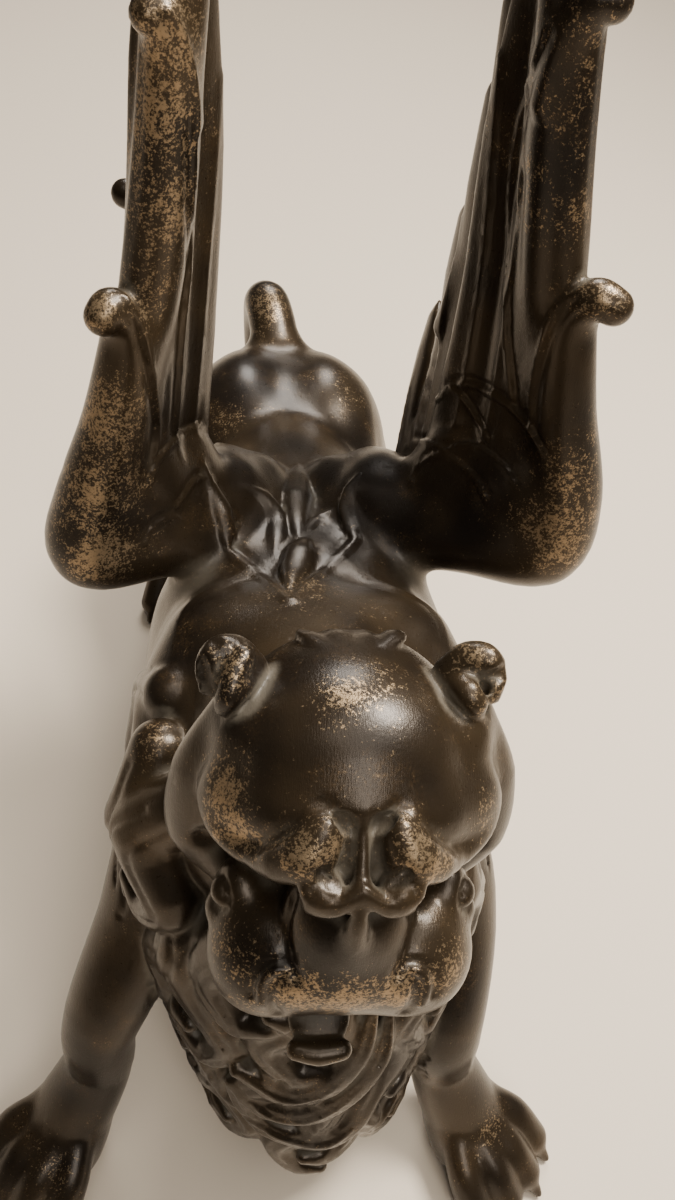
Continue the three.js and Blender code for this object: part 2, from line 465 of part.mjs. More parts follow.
// Samples the clay in blocks and walks six tetrahedra in each cell, which always closes.
function surfaceOf(cell) {
  const box = new THREE.Box3();
  for (const s of steps) if (s.kind === "add") box.union(s.box);
  box.expandByScalar(cell * 2);
  const size = box.getSize(V([0, 0, 0]));
  const [nx, ny, nz] = size.toArray().map((v) => Math.ceil(v / cell) + 1);
  const values = new Float32Array(nx * ny * nz).fill(1e3);
  const block = 6;
  const at = (i, j, k) => (k * ny + j) * nx + i;
  for (let k0 = 0; k0 < nz; k0 += block)
    for (let j0 = 0; j0 < ny; j0 += block)
      for (let i0 = 0; i0 < nx; i0 += block) {
        const low = box.min.clone().addScaledVector(V([i0, j0, k0]), cell);
        const high = low.clone().addScalar(block * cell);
        const here = new THREE.Box3(low, high);
        const near = steps.filter((s) => s.box.clone().expandByScalar(s.margin).intersectsBox(here));
        if (!near.length) continue;
        const mid = low.clone().add(high).multiplyScalar(0.5);
        if (clay(near, mid.x, mid.y, mid.z) < -1.3 * block * cell) {
          for (let k = k0; k < Math.min(k0 + block, nz); k++)
            for (let j = j0; j < Math.min(j0 + block, ny); j++)
              for (let i = i0; i < Math.min(i0 + block, nx); i++) values[at(i, j, k)] = -1e3;
          continue;
        }
        for (let k = k0; k < Math.min(k0 + block, nz); k++)
          for (let j = j0; j < Math.min(j0 + block, ny); j++)
            for (let i = i0; i < Math.min(i0 + block, nx); i++) {
              const f = clay(near, box.min.x + i * cell, box.min.y + j * cell, box.min.z + k * cell);
              values[at(i, j, k)] = f === 0 ? 1e-6 : f;
            }
      }
  const ORDERS = [[0, 1, 2], [1, 2, 0], [2, 0, 1], [0, 2, 1], [2, 1, 0], [1, 0, 2]];
  const stride = [1, nx, nx * ny];
  const points = [];
  const made = new Map();
  const crossing = (a, b) => {
    if (a > b) [a, b] = [b, a];
    const key = a * 16 + [1, nx, nx * ny, 1 + nx, 1 + nx * ny, nx + nx * ny].indexOf(b - a) + 1;
    if (made.has(key)) return made.get(key);
    const t = Math.min(0.97, Math.max(0.03, values[a] / (values[a] - values[b])));
    const place = (n) => [n % nx, Math.floor(n / nx) % ny, Math.floor(n / (nx * ny))];
    const [pa, pb] = [place(a), place(b)];
    points.push(...[0, 1, 2].map((c) => box.min.getComponent(c) + cell * (pa[c] + t * (pb[c] - pa[c]))));
    made.set(key, points.length / 3 - 1);
    return points.length / 3 - 1;
  };
  const triangles = [];
  for (let k = 0; k < nz - 1; k++)
    for (let j = 0; j < ny - 1; j++)
      for (let i = 0; i < nx - 1; i++) {
        const base = at(i, j, k);
        const inside = values[base] < 0;
        let mixed = false;
        for (let c = 1; c < 8 && !mixed; c++)
          mixed = values[base + (c & 1) + ((c >> 1) & 1) * nx + (c >> 2) * nx * ny] < 0 !== inside;
        if (!mixed) continue;
        ORDERS.forEach((order, o) => {
          const b = base + stride[order[0]];
          const c = b + stride[order[1]];
          const d = c + stride[order[2]];
          const tet = o < 3 ? [base, b, c, d] : [base, c, b, d];
          const ins = tet.filter((v) => values[v] < 0);
          if (!ins.length || ins.length === 4) return;
          const out = tet.filter((v) => values[v] >= 0);
          const sorted = ins.length === 3 ? [...out, ...ins] : [...ins, ...out];
          const places = sorted.map((v) => tet.indexOf(v));
          let swaps = 0;
          for (let m = 0; m < 4; m++) for (let n = m + 1; n < 4; n++) if (places[m] > places[n]) swaps++;
          if (swaps % 2) [sorted[2], sorted[3]] = [sorted[3], sorted[2]];
          const [p, q, r, s] = sorted;
          if (ins.length === 1) triangles.push([crossing(p, q), crossing(p, r), crossing(p, s)]);
          else if (ins.length === 3) triangles.push([crossing(p, q), crossing(p, s), crossing(p, r)]);
          else {
            const [pr, ps, qr, qs] = [crossing(p, r), crossing(p, s), crossing(q, r), crossing(q, s)];
            triangles.push([ps, qs, qr], [ps, qr, pr]);
          }
        });
      }
  return { points, triangles };
}

// Folds edges away, the cheapest change of shape first, until few enough triangles are left.
// Each vertex carries the sum of the squared distances to the planes that it stands for.
function simplified({ points, triangles }, keep) {
  const n = points.length / 3;
  const pos = Float64Array.from(points);
  const quadric = new Float64Array(n * 10);
  const corner = Int32Array.from(triangles.flat());
  const faceCount = corner.length / 3;
  const alive = new Uint8Array(faceCount).fill(1);
  const round = Array.from({ length: n }, () => []);
  const version = new Int32Array(n);
  const normal = [0, 0, 0];
  const face = at(0, -16, -4);
  const normalOf = (ax, ay, az, bx, by, bz, cx, cy, cz) => {
    const [ux, uy, uz] = [bx - ax, by - ay, bz - az];
    const [vx, vy, vz] = [cx - ax, cy - ay, cz - az];
    normal[0] = uy * vz - uz * vy;
    normal[1] = uz * vx - ux * vz;
    normal[2] = ux * vy - uy * vx;
    return Math.sqrt(normal[0] ** 2 + normal[1] ** 2 + normal[2] ** 2);
  };
  for (let f = 0; f < faceCount; f++) {
    const [a, b, c] = [corner[f * 3] * 3, corner[f * 3 + 1] * 3, corner[f * 3 + 2] * 3];
    const area = normalOf(pos[a], pos[a + 1], pos[a + 2], pos[b], pos[b + 1], pos[b + 2],
      pos[c], pos[c + 1], pos[c + 2]) || 1e-12;
    const [x, y, z] = [normal[0] / area, normal[1] / area, normal[2] / area];
    const d = -(x * pos[a] + y * pos[a + 1] + z * pos[a + 2]);
    const terms = [x * x, x * y, x * z, x * d, y * y, y * z, y * d, z * z, z * d, d * d];
    const away = Math.hypot(pos[a] - face[0], pos[a + 1] - face[1], pos[a + 2] - face[2]);
    const care = away < FACE_REACH ? FACE_CARE : 1;
    for (let e = 0; e < 3; e++) {
      const v = corner[f * 3 + e];
      round[v].push(f);
      for (let k = 0; k < 10; k++) quadric[v * 10 + k] += terms[k] * area * care;
    }
  }
  const q = new Float64Array(10);
  const spot = [0, 0, 0];
  const costOf = (a, b) => {
    for (let k = 0; k < 10; k++) q[k] = quadric[a * 10 + k] + quadric[b * 10 + k];
    const [a3, b3] = [a * 3, b * 3];
    const mx = (pos[a3] + pos[b3]) / 2;
    const my = (pos[a3 + 1] + pos[b3 + 1]) / 2;
    const mz = (pos[a3 + 2] + pos[b3 + 2]) / 2;
    const [dx, dy, dz] = [0, 1, 2].map((c) => pos[a3 + c] - pos[b3 + c]);
    const span = dx * dx + dy * dy + dz * dz;
    const pull = 1e-3 * (q[0] + q[4] + q[7]) + 1e-9;
    const [m11, m22, m33] = [q[0] + pull, q[4] + pull, q[7] + pull];
    const [r1, r2, r3] = [pull * mx - q[3], pull * my - q[6], pull * mz - q[8]];
    const c11 = m22 * m33 - q[5] * q[5];
    const c12 = q[2] * q[5] - q[1] * m33;
    const c13 = q[1] * q[5] - q[2] * m22;
    const c22 = m11 * m33 - q[2] * q[2];
    const c23 = q[1] * q[2] - m11 * q[5];
    const c33 = m11 * m22 - q[1] * q[1];
    const det = m11 * c11 + q[1] * c12 + q[2] * c13;
    let x = (c11 * r1 + c12 * r2 + c13 * r3) / det;
    let y = (c12 * r1 + c22 * r2 + c23 * r3) / det;
    let z = (c13 * r1 + c23 * r2 + c33 * r3) / det;
    if (!((x - mx) ** 2 + (y - my) ** 2 + (z - mz) ** 2 < 4 * span)) [x, y, z] = [mx, my, mz];
    spot[0] = x;
    spot[1] = y;
    spot[2] = z;
    const error = q[0] * x * x + 2 * q[1] * x * y + 2 * q[2] * x * z + 2 * q[3] * x + q[4] * y * y +
      2 * q[5] * y * z + 2 * q[6] * y + q[7] * z * z + 2 * q[8] * z + q[9];
    return Math.max(0, error) + LONG_EDGE_COST * span * span;
  };
  const queue = [];
  const offer = (a, b) => {
    const item = { cost: costOf(a, b), a, b, stamp: version[a] + version[b] };
    let i = queue.length;
    queue.push(item);
    while (i > 0) {
      const up = (i - 1) >> 1;
      if (queue[up].cost <= item.cost) break;
      queue[i] = queue[up];
      i = up;
    }
    queue[i] = item;
  };
  const take = () => {
    const top = queue[0];
    const item = queue.pop();
    const count = queue.length;
    if (!count) return top;
    let i = 0;
    for (let child = 1; child < count; child = 2 * i + 1) {
      if (child + 1 < count && queue[child + 1].cost < queue[child].cost) child++;
      if (item.cost <= queue[child].cost) break;
      queue[i] = queue[child];
      i = child;
    }
    queue[i] = item;
    return top;
  };
  const neighbours = (v) => {
    const found = [];
    for (const f of round[v])
      for (let e = 0; e < 3; e++) {
        const w = corner[f * 3 + e];
        if (w !== v && !found.includes(w)) found.push(w);
      }
    return found;
  };
  const p = new Float64Array(9);
  const spoils = (v, other) => {
    for (const f of round[v]) {
      const [a, b, c] = [corner[f * 3], corner[f * 3 + 1], corner[f * 3 + 2]];
      if (a === other || b === other || c === other) continue;
      for (let k = 0; k < 3; k++) {
        p[k] = pos[a * 3 + k];
        p[k + 3] = pos[b * 3 + k];
        p[k + 6] = pos[c * 3 + k];
      }
      const before = normalOf(p[0], p[1], p[2], p[3], p[4], p[5], p[6], p[7], p[8]);
      const [nx, ny, nz] = [normal[0], normal[1], normal[2]];
      const at = a === v ? 0 : b === v ? 3 : 6;
      for (let k = 0; k < 3; k++) p[at + k] = spot[k];
      const after = normalOf(p[0], p[1], p[2], p[3], p[4], p[5], p[6], p[7], p[8]);
      const turn = nx * normal[0] + ny * normal[1] + nz * normal[2];
      if (after < 1e-4 || turn < 0.3 * before * after) return true;
    }
    return false;
  };
  for (let f = 0; f < faceCount; f++)
    for (let e = 0; e < 3; e++) {
      const [a, b] = [corner[f * 3 + e], corner[f * 3 + ((e + 1) % 3)]];
      if (a < b) offer(a, b);
    }
  let left = faceCount;
  while (left > keep && queue.length) {
    const { a, b, stamp } = take();
    if (version[a] < 0 || version[b] < 0 || version[a] + version[b] !== stamp) continue;
    const near = neighbours(a);
    let shared = 0;
    for (const v of neighbours(b)) if (near.includes(v)) shared++;
    costOf(a, b);
    if (shared !== 2 || spoils(a, b) || spoils(b, a)) continue;
    for (const f of round[b]) {
      const c = [corner[f * 3], corner[f * 3 + 1], corner[f * 3 + 2]];
      if (c.includes(a)) {
        alive[f] = 0;
        left--;
        for (const v of c) if (v !== b) round[v] = round[v].filter((g) => g !== f);
      } else {
        corner[f * 3 + c.indexOf(b)] = a;
        round[a].push(f);
      }
    }
    round[b] = [];
    for (let k = 0; k < 10; k++) quadric[a * 10 + k] += quadric[b * 10 + k];
    pos.set(spot, a * 3);
    version[a]++;
    version[b] = -1;
    for (const v of neighbours(a)) offer(a, v);
  }
  const faces = [];
  for (let f = 0; f < faceCount; f++) {
    if (alive[f]) faces.push([corner[f * 3], corner[f * 3 + 1], corner[f * 3 + 2]]);
  }
  return { pos, faces };
}

const wasm = await Module();
wasm.setup();

function solidOf({ pos, faces }) {
  const used = new Map();
  const vertProperties = [];
  const triVerts = faces.flat().map((v) => {
    if (!used.has(v)) {
      used.set(v, used.size);
      vertProperties.push(pos[v * 3], pos[v * 3 + 1], pos[v * 3 + 2]);
    }
    return used.get(v);
  });
  return new wasm.Manifold(new wasm.Mesh({
    numProp: 3,
    vertProperties: new Float32Array(vertProperties),
    triVerts: new Uint32Array(triVerts),
  }));
}

// One closed casting, cut flat under the paws and set on the ground at the middle of its outline.
const whole = solidOf(simplified(surfaceOf(CELL), KEPT_TRIANGLES));
const room = whole.boundingBox();
const [wide, long] = [room.max[0] - room.min[0], room.max[1] - room.min[1]];
const ground = new THREE.BoxGeometry(2 * wide, 2 * long, wide);
ground.translate((room.min[0] + room.max[0]) / 2, (room.min[1] + room.max[1]) / 2, SOLE_CUT - wide / 2);
const groundPoints = mergeVertices(ground.deleteAttribute("uv").deleteAttribute("normal"));
const standing = whole.subtract(new wasm.Manifold(new wasm.Mesh({
  numProp: 3,
  vertProperties: groundPoints.getAttribute("position").array,
  triVerts: Uint32Array.from(groundPoints.index.array),
})));
const mesh = standing.getMesh();
const geometry = new THREE.BufferGeometry();
geometry.setAttribute("position", new THREE.BufferAttribute(Float32Array.from(mesh.vertProperties), 3));
geometry.setIndex(new THREE.BufferAttribute(Uint32Array.from(mesh.triVerts), 1));
geometry.computeBoundingBox();
const { min, max } = geometry.boundingBox;
geometry.translate(-(min.x + max.x) / 2, -(min.y + max.y) / 2, -min.z);
geometry.computeVertexNormals();

const bronze = new THREE.MeshStandardMaterial({ color: 0x3b2f22, metalness: 0.85, roughness: 0.45 });
const griffin = new THREE.Mesh(geometry, bronze);
griffin.name = "griffin";
const group = new THREE.Group();
group.add(griffin);
export default group;
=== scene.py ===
"""A small cast bronze griffin on a pale sheet of paper."""

import math

import bmesh
import bpy
import numpy as np
from mathutils import Matrix, Vector


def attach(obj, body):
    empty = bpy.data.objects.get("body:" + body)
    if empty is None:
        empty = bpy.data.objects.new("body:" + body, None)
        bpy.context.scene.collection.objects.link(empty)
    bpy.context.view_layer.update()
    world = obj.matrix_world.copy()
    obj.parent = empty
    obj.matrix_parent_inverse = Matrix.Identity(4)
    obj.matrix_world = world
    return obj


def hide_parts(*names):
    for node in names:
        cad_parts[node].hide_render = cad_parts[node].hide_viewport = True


# The camera of the photo: its place in metres, its angles in degrees and its lens in millimetres
CAMERA_PLACE = (-0.01401, -0.14933, 0.2522)
CAMERA_TURN = 11
CAMERA_DOWN = 49
CAMERA_ROLL = 9
CAMERA_LENS = 30
NEAREST_SEEN = 0.01

# The griffin is sculpted in millimetres, in the frame of the ground under the middle of its body,
# looking along -Y. These sizes are the solid's own.
BODY_LENGTH = 128
WITHERS_HEIGHT = 108
RUMP_HEIGHT = 94
CHEST_Y = -60
RUMP_Y = CHEST_Y + BODY_LENGTH
CHEST_RADIUS = 29
LOIN_RADIUS = 22
HAUNCH_RADIUS = 23
TAIL_RADIUS = 6
FORE_STANCE = 93
FORE_REACH = 44
HIND_STANCE = 52
HIND_REACH = 8
FORE_TURN = 38
HIND_TURN = 8
STANCE_SHIFT = 4.5
FOREARM_RADIUS = 8.6
SHANK_RADIUS = 7.2
TOE_RADIUS = 4.1
SOLE_CUT = 1.2
HEAD_FORWARD = 24
HEAD_RISE = 22
HEAD_YAW = -2
HEAD_ROLL = 0.5
TONGUE_WIDTH = 9.4
BIB_WIDTH = 28.5
BIB_DEPTH = 44
BIB_DROP = 78
WING_GRID_RISE = 132
WING_RISE = 132
WING_LEAN = 3.2
WING_TIP_LEAN = 1.2
WING_LIFT = 3
FEATHER_THICKNESS = 0.4

# The block of clay and the size of its cells, the triangles that are kept, and the place of the
# part's own frame in the sculpting frame
CLAY_LOW = (-75, -132, -3)
CLAY_HIGH = (75, 118, 250)
FINE_CELL = 0.5
KEPT_TRIANGLES = 190000
OUTLINE_MIDDLE = (-4.69, -7.87)
METRE = 1000

# The field's value in empty air, and how far a drawn line reaches, in widths
AIR = 1e3
LINE_REACH = 2.2
# How a point is laid onto the surface: how near is enough, the most steps, and each step's share
# of the gap, shortest and longest
NEAR_ENOUGH = 0.02
MOST_STEPS = 80
STEP_SHARE = 0.7
SHORTEST_STEP = 0.1
LONGEST_STEP = 1.0

SIDES = (-1, 1)
DOWN = (0, 0, -1)


def unit(v):
    v = np.asarray(v, float)
    return v / max(np.linalg.norm(v), 1e-12)


def lerp(a, b, t):
    return a + (b - a) * t


def smoothstep(x, a, b):
    t = min(1.0, max(0.0, (x - a) / (b - a)))
    return t * t * (3 - 2 * t)


def turned(degrees):
    """Axes, as columns, of a frame turned about X, then Y, then Z."""
    (ca, cb, cc), (sa, sb, sc) = np.cos(np.radians(degrees)), np.sin(np.radians(degrees))
    about_x = np.array([[1, 0, 0], [0, ca, -sa], [0, sa, ca]])
    about_y = np.array([[cb, 0, sb], [0, 1, 0], [-sb, 0, cb]])
    about_z = np.array([[cc, -sc, 0], [sc, cc, 0], [0, 0, 1]])
    return about_x @ about_y @ about_z


def smooth_curve(points, fine):
    """Stations along a smooth curve through the points, with `fine` steps from each to the next."""
    p = np.asarray(points, float)
    p = np.vstack([2 * p[0] - p[1], p, 2 * p[-1] - p[-2]])
    stations = []
    for i in range(1, len(p) - 2):
        p0, p1, p2, p3 = p[i - 1 : i + 3]
        t0, t1, t2 = (max(np.linalg.norm(b - a), 1e-4) ** 0.5 for a, b in ((p0, p1), (p1, p2), (p2, p3)))
        m1 = ((p1 - p0) / t0 - (p2 - p0) / (t0 + t1) + (p2 - p1) / t1) * t1
        m2 = ((p2 - p1) / t1 - (p3 - p1) / (t1 + t2) + (p3 - p2) / t2) * t1
        bend = 3 * (p2 - p1) - 2 * m1 - m2
        twist = 2 * (p1 - p2) + m1 + m2
        for s in range(fine):
            t = s / fine
            stations.append(p1 + m1 * t + bend * t * t + twist * t**3)
    stations.append(p[-2])
    return np.array(stations)


def egg_distance(centre, radii, turn):
    """The distance to an egg whose axes are turned by degrees."""
    axes = turned(turn).astype(np.float32)
    centre = np.asarray(centre, np.float32)
    radii = np.asarray(radii, np.float32)

    def distance(x, y, z):
        k0 = k1 = 0
        for axis, r in zip(axes.T, radii):
            u = ((x - centre[0]) * axis[0] + (y - centre[1]) * axis[1] + (z - centre[2]) * axis[2]) / r
            k0 = k0 + u * u
            k1 = k1 + (u / r) ** 2
        k0, k1 = np.sqrt(k0), np.sqrt(k1)
        return k0 * (k0 - 1) / np.maximum(k1, 1e-6)

    return distance


def bone_distance(a, b, ra, rb, face, thin):
    """The distance to all the balls, or flattened balls, whose middles lie between two points."""
    length = max(float(np.linalg.norm(b - a)), 1e-6)
    a, along = np.asarray(a, np.float32), np.asarray((b - a) / length, np.float32)
    lean = min(0.9, max(-0.9, (ra - rb) / length))
    lean = np.float32(lean / math.sqrt(1 - lean * lean))

    def distance(x, y, z):
        px, py, pz = x - a[0], y - a[1], z - a[2]
        s = px * along[0] + py * along[1] + pz * along[2]
        if lean:
            s = s - lean * np.sqrt(np.maximum(px * px + py * py + pz * pz - s * s, 0))
        s = np.clip(s, 0, np.float32(length))
        r = np.float32(ra) + np.float32((rb - ra) / length) * s
        px, py, pz = px - s * along[0], py - s * along[1], pz - s * along[2]
        far = px * px + py * py + pz * pz
        if thin == 1:
            return np.sqrt(far) - r
        w2 = (px * np.float32(face[0]) + py * np.float32(face[1]) + pz * np.float32(face[2])) ** 2
        flat = np.maximum(far - w2, 0) / (r * r)
        high = w2 / (r * r * np.float32(thin * thin))
        k0 = np.sqrt(flat + high)
        k1 = np.sqrt(flat + high / np.float32(thin * thin)) / r
        return k0 * (k0 - 1) / np.maximum(k1, 1e-6)

    return distance


def ball(centre, radii, turn=(0, 0, 0)):
    """A ball or egg: its one box and its distance."""
    radii = [radii] * 3 if np.isscalar(radii) else radii
    centre, reach = np.asarray(centre, float), max(radii)
    return [(centre - reach, centre + reach, egg_distance(centre, radii, turn))]


def strand(points, radii, face=(0, 0, 0), thin=1, fine=6):
    """A tapering strand along a smooth curve. A thin one is flattened along face."""
    p = smooth_curve(points, fine)
    at = np.linspace(0, len(points) - 1, len(p))
    r = np.interp(at, range(len(points)), radii)
    face = unit(face)
    bones = []
    for i in range(len(p) - 1):
        reach = max(r[i], r[i + 1])
        low, high = np.minimum(p[i], p[i + 1]) - reach, np.maximum(p[i], p[i + 1]) + reach
        bones.append((low, high, bone_distance(p[i], p[i + 1], r[i], r[i + 1], face, thin)))
    return bones


class Clay:
    """A block of air on a regular grid, in millimetres, that forms melt into and hollows are cut from.

    Its field is about the distance to the surface: below zero inside the forms, above zero in air.
    """

    def __init__(self, low, high, cell):
        self.low, self.cell = np.asarray(low, float), cell
        self.count = np.ceil((np.asarray(high) - self.low) / cell).astype(int) + 1
        self.field = np.full(self.count, AIR, np.float32)

    def window(self, low, high):
        """The first and last grid points of a box."""
        first = np.clip(np.floor((low - self.low) / self.cell).astype(int), 0, self.count)
        last = np.clip(np.ceil((high - self.low) / self.cell).astype(int) + 1, 0, self.count)
        return first, last

    def places(self, first, last):
        """The grid points' places along each axis, shaped so that they spread over the block."""
        start, step = self.low.astype(np.float32), np.float32(self.cell)
        x, y, z = (start[c] + np.arange(first[c], last[c], dtype=np.float32) * step for c in range(3))
        return x[:, None, None], y[None, :, None], z[None, None, :]

    def measured(self, shape, margin):
        """Where a shape reaches, widened by a margin, and the distance to it there."""
        low, high = np.min([s[0] for s in shape], 0), np.max([s[1] for s in shape], 0)
        first, last = self.window(low - margin, high + margin)
        local = np.full(np.maximum(last - first, 0), AIR, np.float32)
        for low, high, distance in shape:
            a, b = self.window(low - margin, high + margin)
            if np.any(b <= a):
                continue
            part = tuple(slice(p - f, q - f) for p, q, f in zip(a, b, first))
            np.minimum(local[part], distance(*self.places(a, b)), out=local[part])
        return tuple(slice(p, q) for p, q in zip(first, last)), local

    def melt(self, a, b, blend):
        """The nearer of two distances, rounded where they are alike."""
        h = np.maximum(blend - np.abs(a - b), 0) / blend
        return np.minimum(a, b) - h * h * np.float32(blend / 4)

    def add(self, shape, blend=1):
        where, distance = self.measured(shape, blend + 1)
        self.field[where] = self.melt(self.field[where], distance, blend)

    def cut(self, shape, blend=1):
        where, distance = self.measured(shape, blend + 1)
        self.field[where] = -self.melt(-self.field[where], distance, blend)

    def sample(self, p):
        """The field at a point, between the grid's own points."""
        g = (np.asarray(p) - self.low) / self.cell
        i = np.clip(g.astype(int), 0, self.count - 2)
        t = g - i
        near = self.field[i[0] : i[0] + 2, i[1] : i[1] + 2, i[2] : i[2] + 2]
        near = near[0] * (1 - t[0]) + near[1] * t[0]
        near = near[0] * (1 - t[1]) + near[1] * t[1]
        return float(near[0] * (1 - t[2]) + near[1] * t[2])

    def sampled(self, points, most=20):
        """The field at many points at once, between the grid's own points, and no more than most."""
        g = (points - self.low) / self.cell
        i = np.clip(g.astype(int), 0, self.count - 2)
        t = g - i
        total = 0
        for corner in ((a, b, c) for a in (0, 1) for b in (0, 1) for c in (0, 1)):
            share = np.prod(np.where(corner, t, 1 - t), axis=1)
            total = total + share * np.minimum(self.field[tuple((i + corner).T)], most)
        return total

    def laid(self, points, toward, fine=6, back=7):
        """A smooth curve through the points. Each station starts behind and moves on to the surface."""
        toward = unit(toward)
        stations = []
        for p in smooth_curve(points, fine):
            q = p - toward * back
            for _ in range(MOST_STEPS):
                gap = self.sample(q)
                if gap < NEAR_ENOUGH:
                    break
                q = q + toward * min(LONGEST_STEP, max(SHORTEST_STEP, STEP_SHARE * gap))
            stations.append(q)
        return stations

    def drawn(self, points, toward, width, depth):
        """A line pressed into the surface along a curve, or raised from it where depth is negative."""
        curve = self.laid(points, toward)
        where, distance = self.measured(strand(curve, [0] * len(curve), fine=1), width * LINE_REACH)
        self.field[where] += depth * np.exp(-((distance / width) ** 2))

    def surface(self):
        """Vertices and four-cornered faces where the field changes sign."""
        inside = self.field < 0
        n = np.array(self.field.shape) - 1
        corners = [(i, j, k) for i in (0, 1) for j in (0, 1) for k in (0, 1)]
        part = [tuple(slice(o, o + m) for o, m in zip(c, n)) for c in corners]
        full = inside[part[0]].copy()
        some = inside[part[0]].copy()
        for p in part[1:]:
            full &= inside[p]
            some |= inside[p]
        cells = np.argwhere(some & ~full)
        index = np.full(n, -1, np.int32)
        index[tuple(cells.T)] = np.arange(len(cells))
        return self.crossings(cells, corners), self.quads(inside, index, n)

    def crossings(self, cells, corners):
        """One point in each cell: the middle of the places where its edges cross the surface."""
        value = np.stack([self.field[tuple((cells + c).T)] for c in corners], 1)
        total, hits = np.zeros((len(cells), 3)), np.zeros(len(cells))
        for a, ca in enumerate(corners):
            for b, cb in enumerate(corners):
                if b <= a or sum(abs(p - q) for p, q in zip(ca, cb)) != 1:
                    continue
                va, vb = value[:, a], value[:, b]
                crosses = (va < 0) != (vb < 0)
                t = np.where(crosses, va / np.where(crosses, va - vb, 1), 0)
                spot = np.asarray(ca) + t[:, None] * (np.asarray(cb) - np.asarray(ca))
                total += spot * crosses[:, None]
                hits += crosses
        return self.low + self.cell * (cells + total / hits[:, None])

    def quads(self, inside, index, n):
        """A face across each grid edge whose ends lie on different sides of the surface."""
        faces = []
        for axis in range(3):
            u, v = (axis + 1) % 3, (axis + 2) % 3
            here = [slice(1, m) for m in n]
            here[axis] = slice(0, n[axis])
            there = list(here)
            there[axis] = slice(1, n[axis] + 1)
            a, b = inside[tuple(here)], inside[tuple(there)]
            start = np.ones(3, int)
            start[axis] = 0
            for flip in (False, True):
                spots = np.argwhere((b & ~a) if flip else (a & ~b)) + start
                ring = []
                for du, dv in ((-1, -1), (0, -1), (0, 0), (-1, 0)):
                    q = spots.copy()
                    q[:, u] += du
                    q[:, v] += dv
                    ring.append(index[tuple(q.T)])
                quad = np.stack(ring, 1)
                faces.append(quad[:, ::-1] if flip else quad)
        return np.concatenate(faces)


def mirror(side, p):
    return (side * p[0], p[1], p[2])


def mirrored(side, *points):
    return [mirror(side, p) for p in points]


def trunk(clay):
    high, rump = WITHERS_HEIGHT, RUMP_HEIGHT
    spine = [(0, CHEST_Y + 4, high - 30), (0, CHEST_Y + 32, high - 25), (0, 8, high - 28),
             (0, RUMP_Y - 30, rump - 21), (0, RUMP_Y, rump - 24)]
    girth = [CHEST_RADIUS, CHEST_RADIUS - 3, LOIN_RADIUS + 1, LOIN_RADIUS - 2, LOIN_RADIUS - 2]
    clay.add(strand(spine, girth), 2)
    clay.add(ball((-0.5, CHEST_Y + 34, high - 20), (28, 24, 18)), 9)
    chest = (CHEST_RADIUS - 1, CHEST_RADIUS + 3, CHEST_RADIUS + 5)
    clay.add(ball((0, CHEST_Y + 2, high - 32), chest), 14)
    neck = [(-1.5, CHEST_Y + 26, high - 24), (-1.5, CHEST_Y + 6, high - 10),
            (0, CHEST_Y - HEAD_FORWARD / 2, high + HEAD_RISE - 16)]
    clay.add(strand(neck, [23, 22.5, 18]), 20)
    for side in SIDES:
        hip = mirror(side, (13, RUMP_Y - 12, rump - 22))
        clay.add(ball(hip, (12, HAUNCH_RADIUS - 1, HAUNCH_RADIUS), (0, -8 * side, 0)), 8)
        shoulder = mirrored(side, (17, CHEST_Y + 16, high - 2), (25, CHEST_Y + 5, high - 8),
                            (27.5, CHEST_Y - 3, high - 17))
        clay.add(strand(shoulder, [9, 6.4, 4]), 9)


def paw(clay, side, middle, turn):
    """Four toes with claws before the ball of a paw that is turned out by degrees."""
    px, py, pz = middle
    a = math.radians(turn)

    def place(across, ahead, up):
        x = px + across * math.cos(a) + ahead * math.sin(a)
        return mirror(side, (x, py - ahead * math.cos(a) + across * math.sin(a), up))

    clay.add(ball(place(0, -1, pz - 1), (10, 10, 8)), 4)
    for i, reach in enumerate((9.5, 12.5, 12, 8.5)):
        across = (i - 1.5) * TOE_RADIUS * 1.5
        toe = [place(across * 0.45, -5, 15), place(across * 0.9, reach - 6, 10.5),
               place(across * 1.05, reach, 5)]
        clay.add(strand(toe, [TOE_RADIUS * 0.73, TOE_RADIUS * 0.95, TOE_RADIUS]), 1.4)
        claw = [place(across * 1.05, reach + 2, 5), place(across * 1.1, reach + 5.6, 2.6)]
        clay.add(strand(claw, [2, 0.9]), 0.8)


def fore_leg(clay, side):
    foot = (FORE_STANCE / 2 - side * STANCE_SHIFT, CHEST_Y - FORE_REACH - side * 1.5, 8.5)
    wrist = (foot[0] - 10, foot[1] + 11, 27)
    clay.add(ball(mirror(side, (20, CHEST_Y, WITHERS_HEIGHT - 34)), (13, 19, 25)), 8)
    bones = mirrored(side, (21, CHEST_Y, WITHERS_HEIGHT - 30), (30, CHEST_Y - 14, WITHERS_HEIGHT - 48),
                     (wrist[0] - 1, wrist[1] + 3, 40), wrist, (foot[0] - 4, foot[1] + 5, 13))
    girth = [14, FOREARM_RADIUS + 1.5, FOREARM_RADIUS - 1, FOREARM_RADIUS - 1.6, FOREARM_RADIUS]
    clay.add(strand(bones, girth), 5)
    paw(clay, side, foot, FORE_TURN)


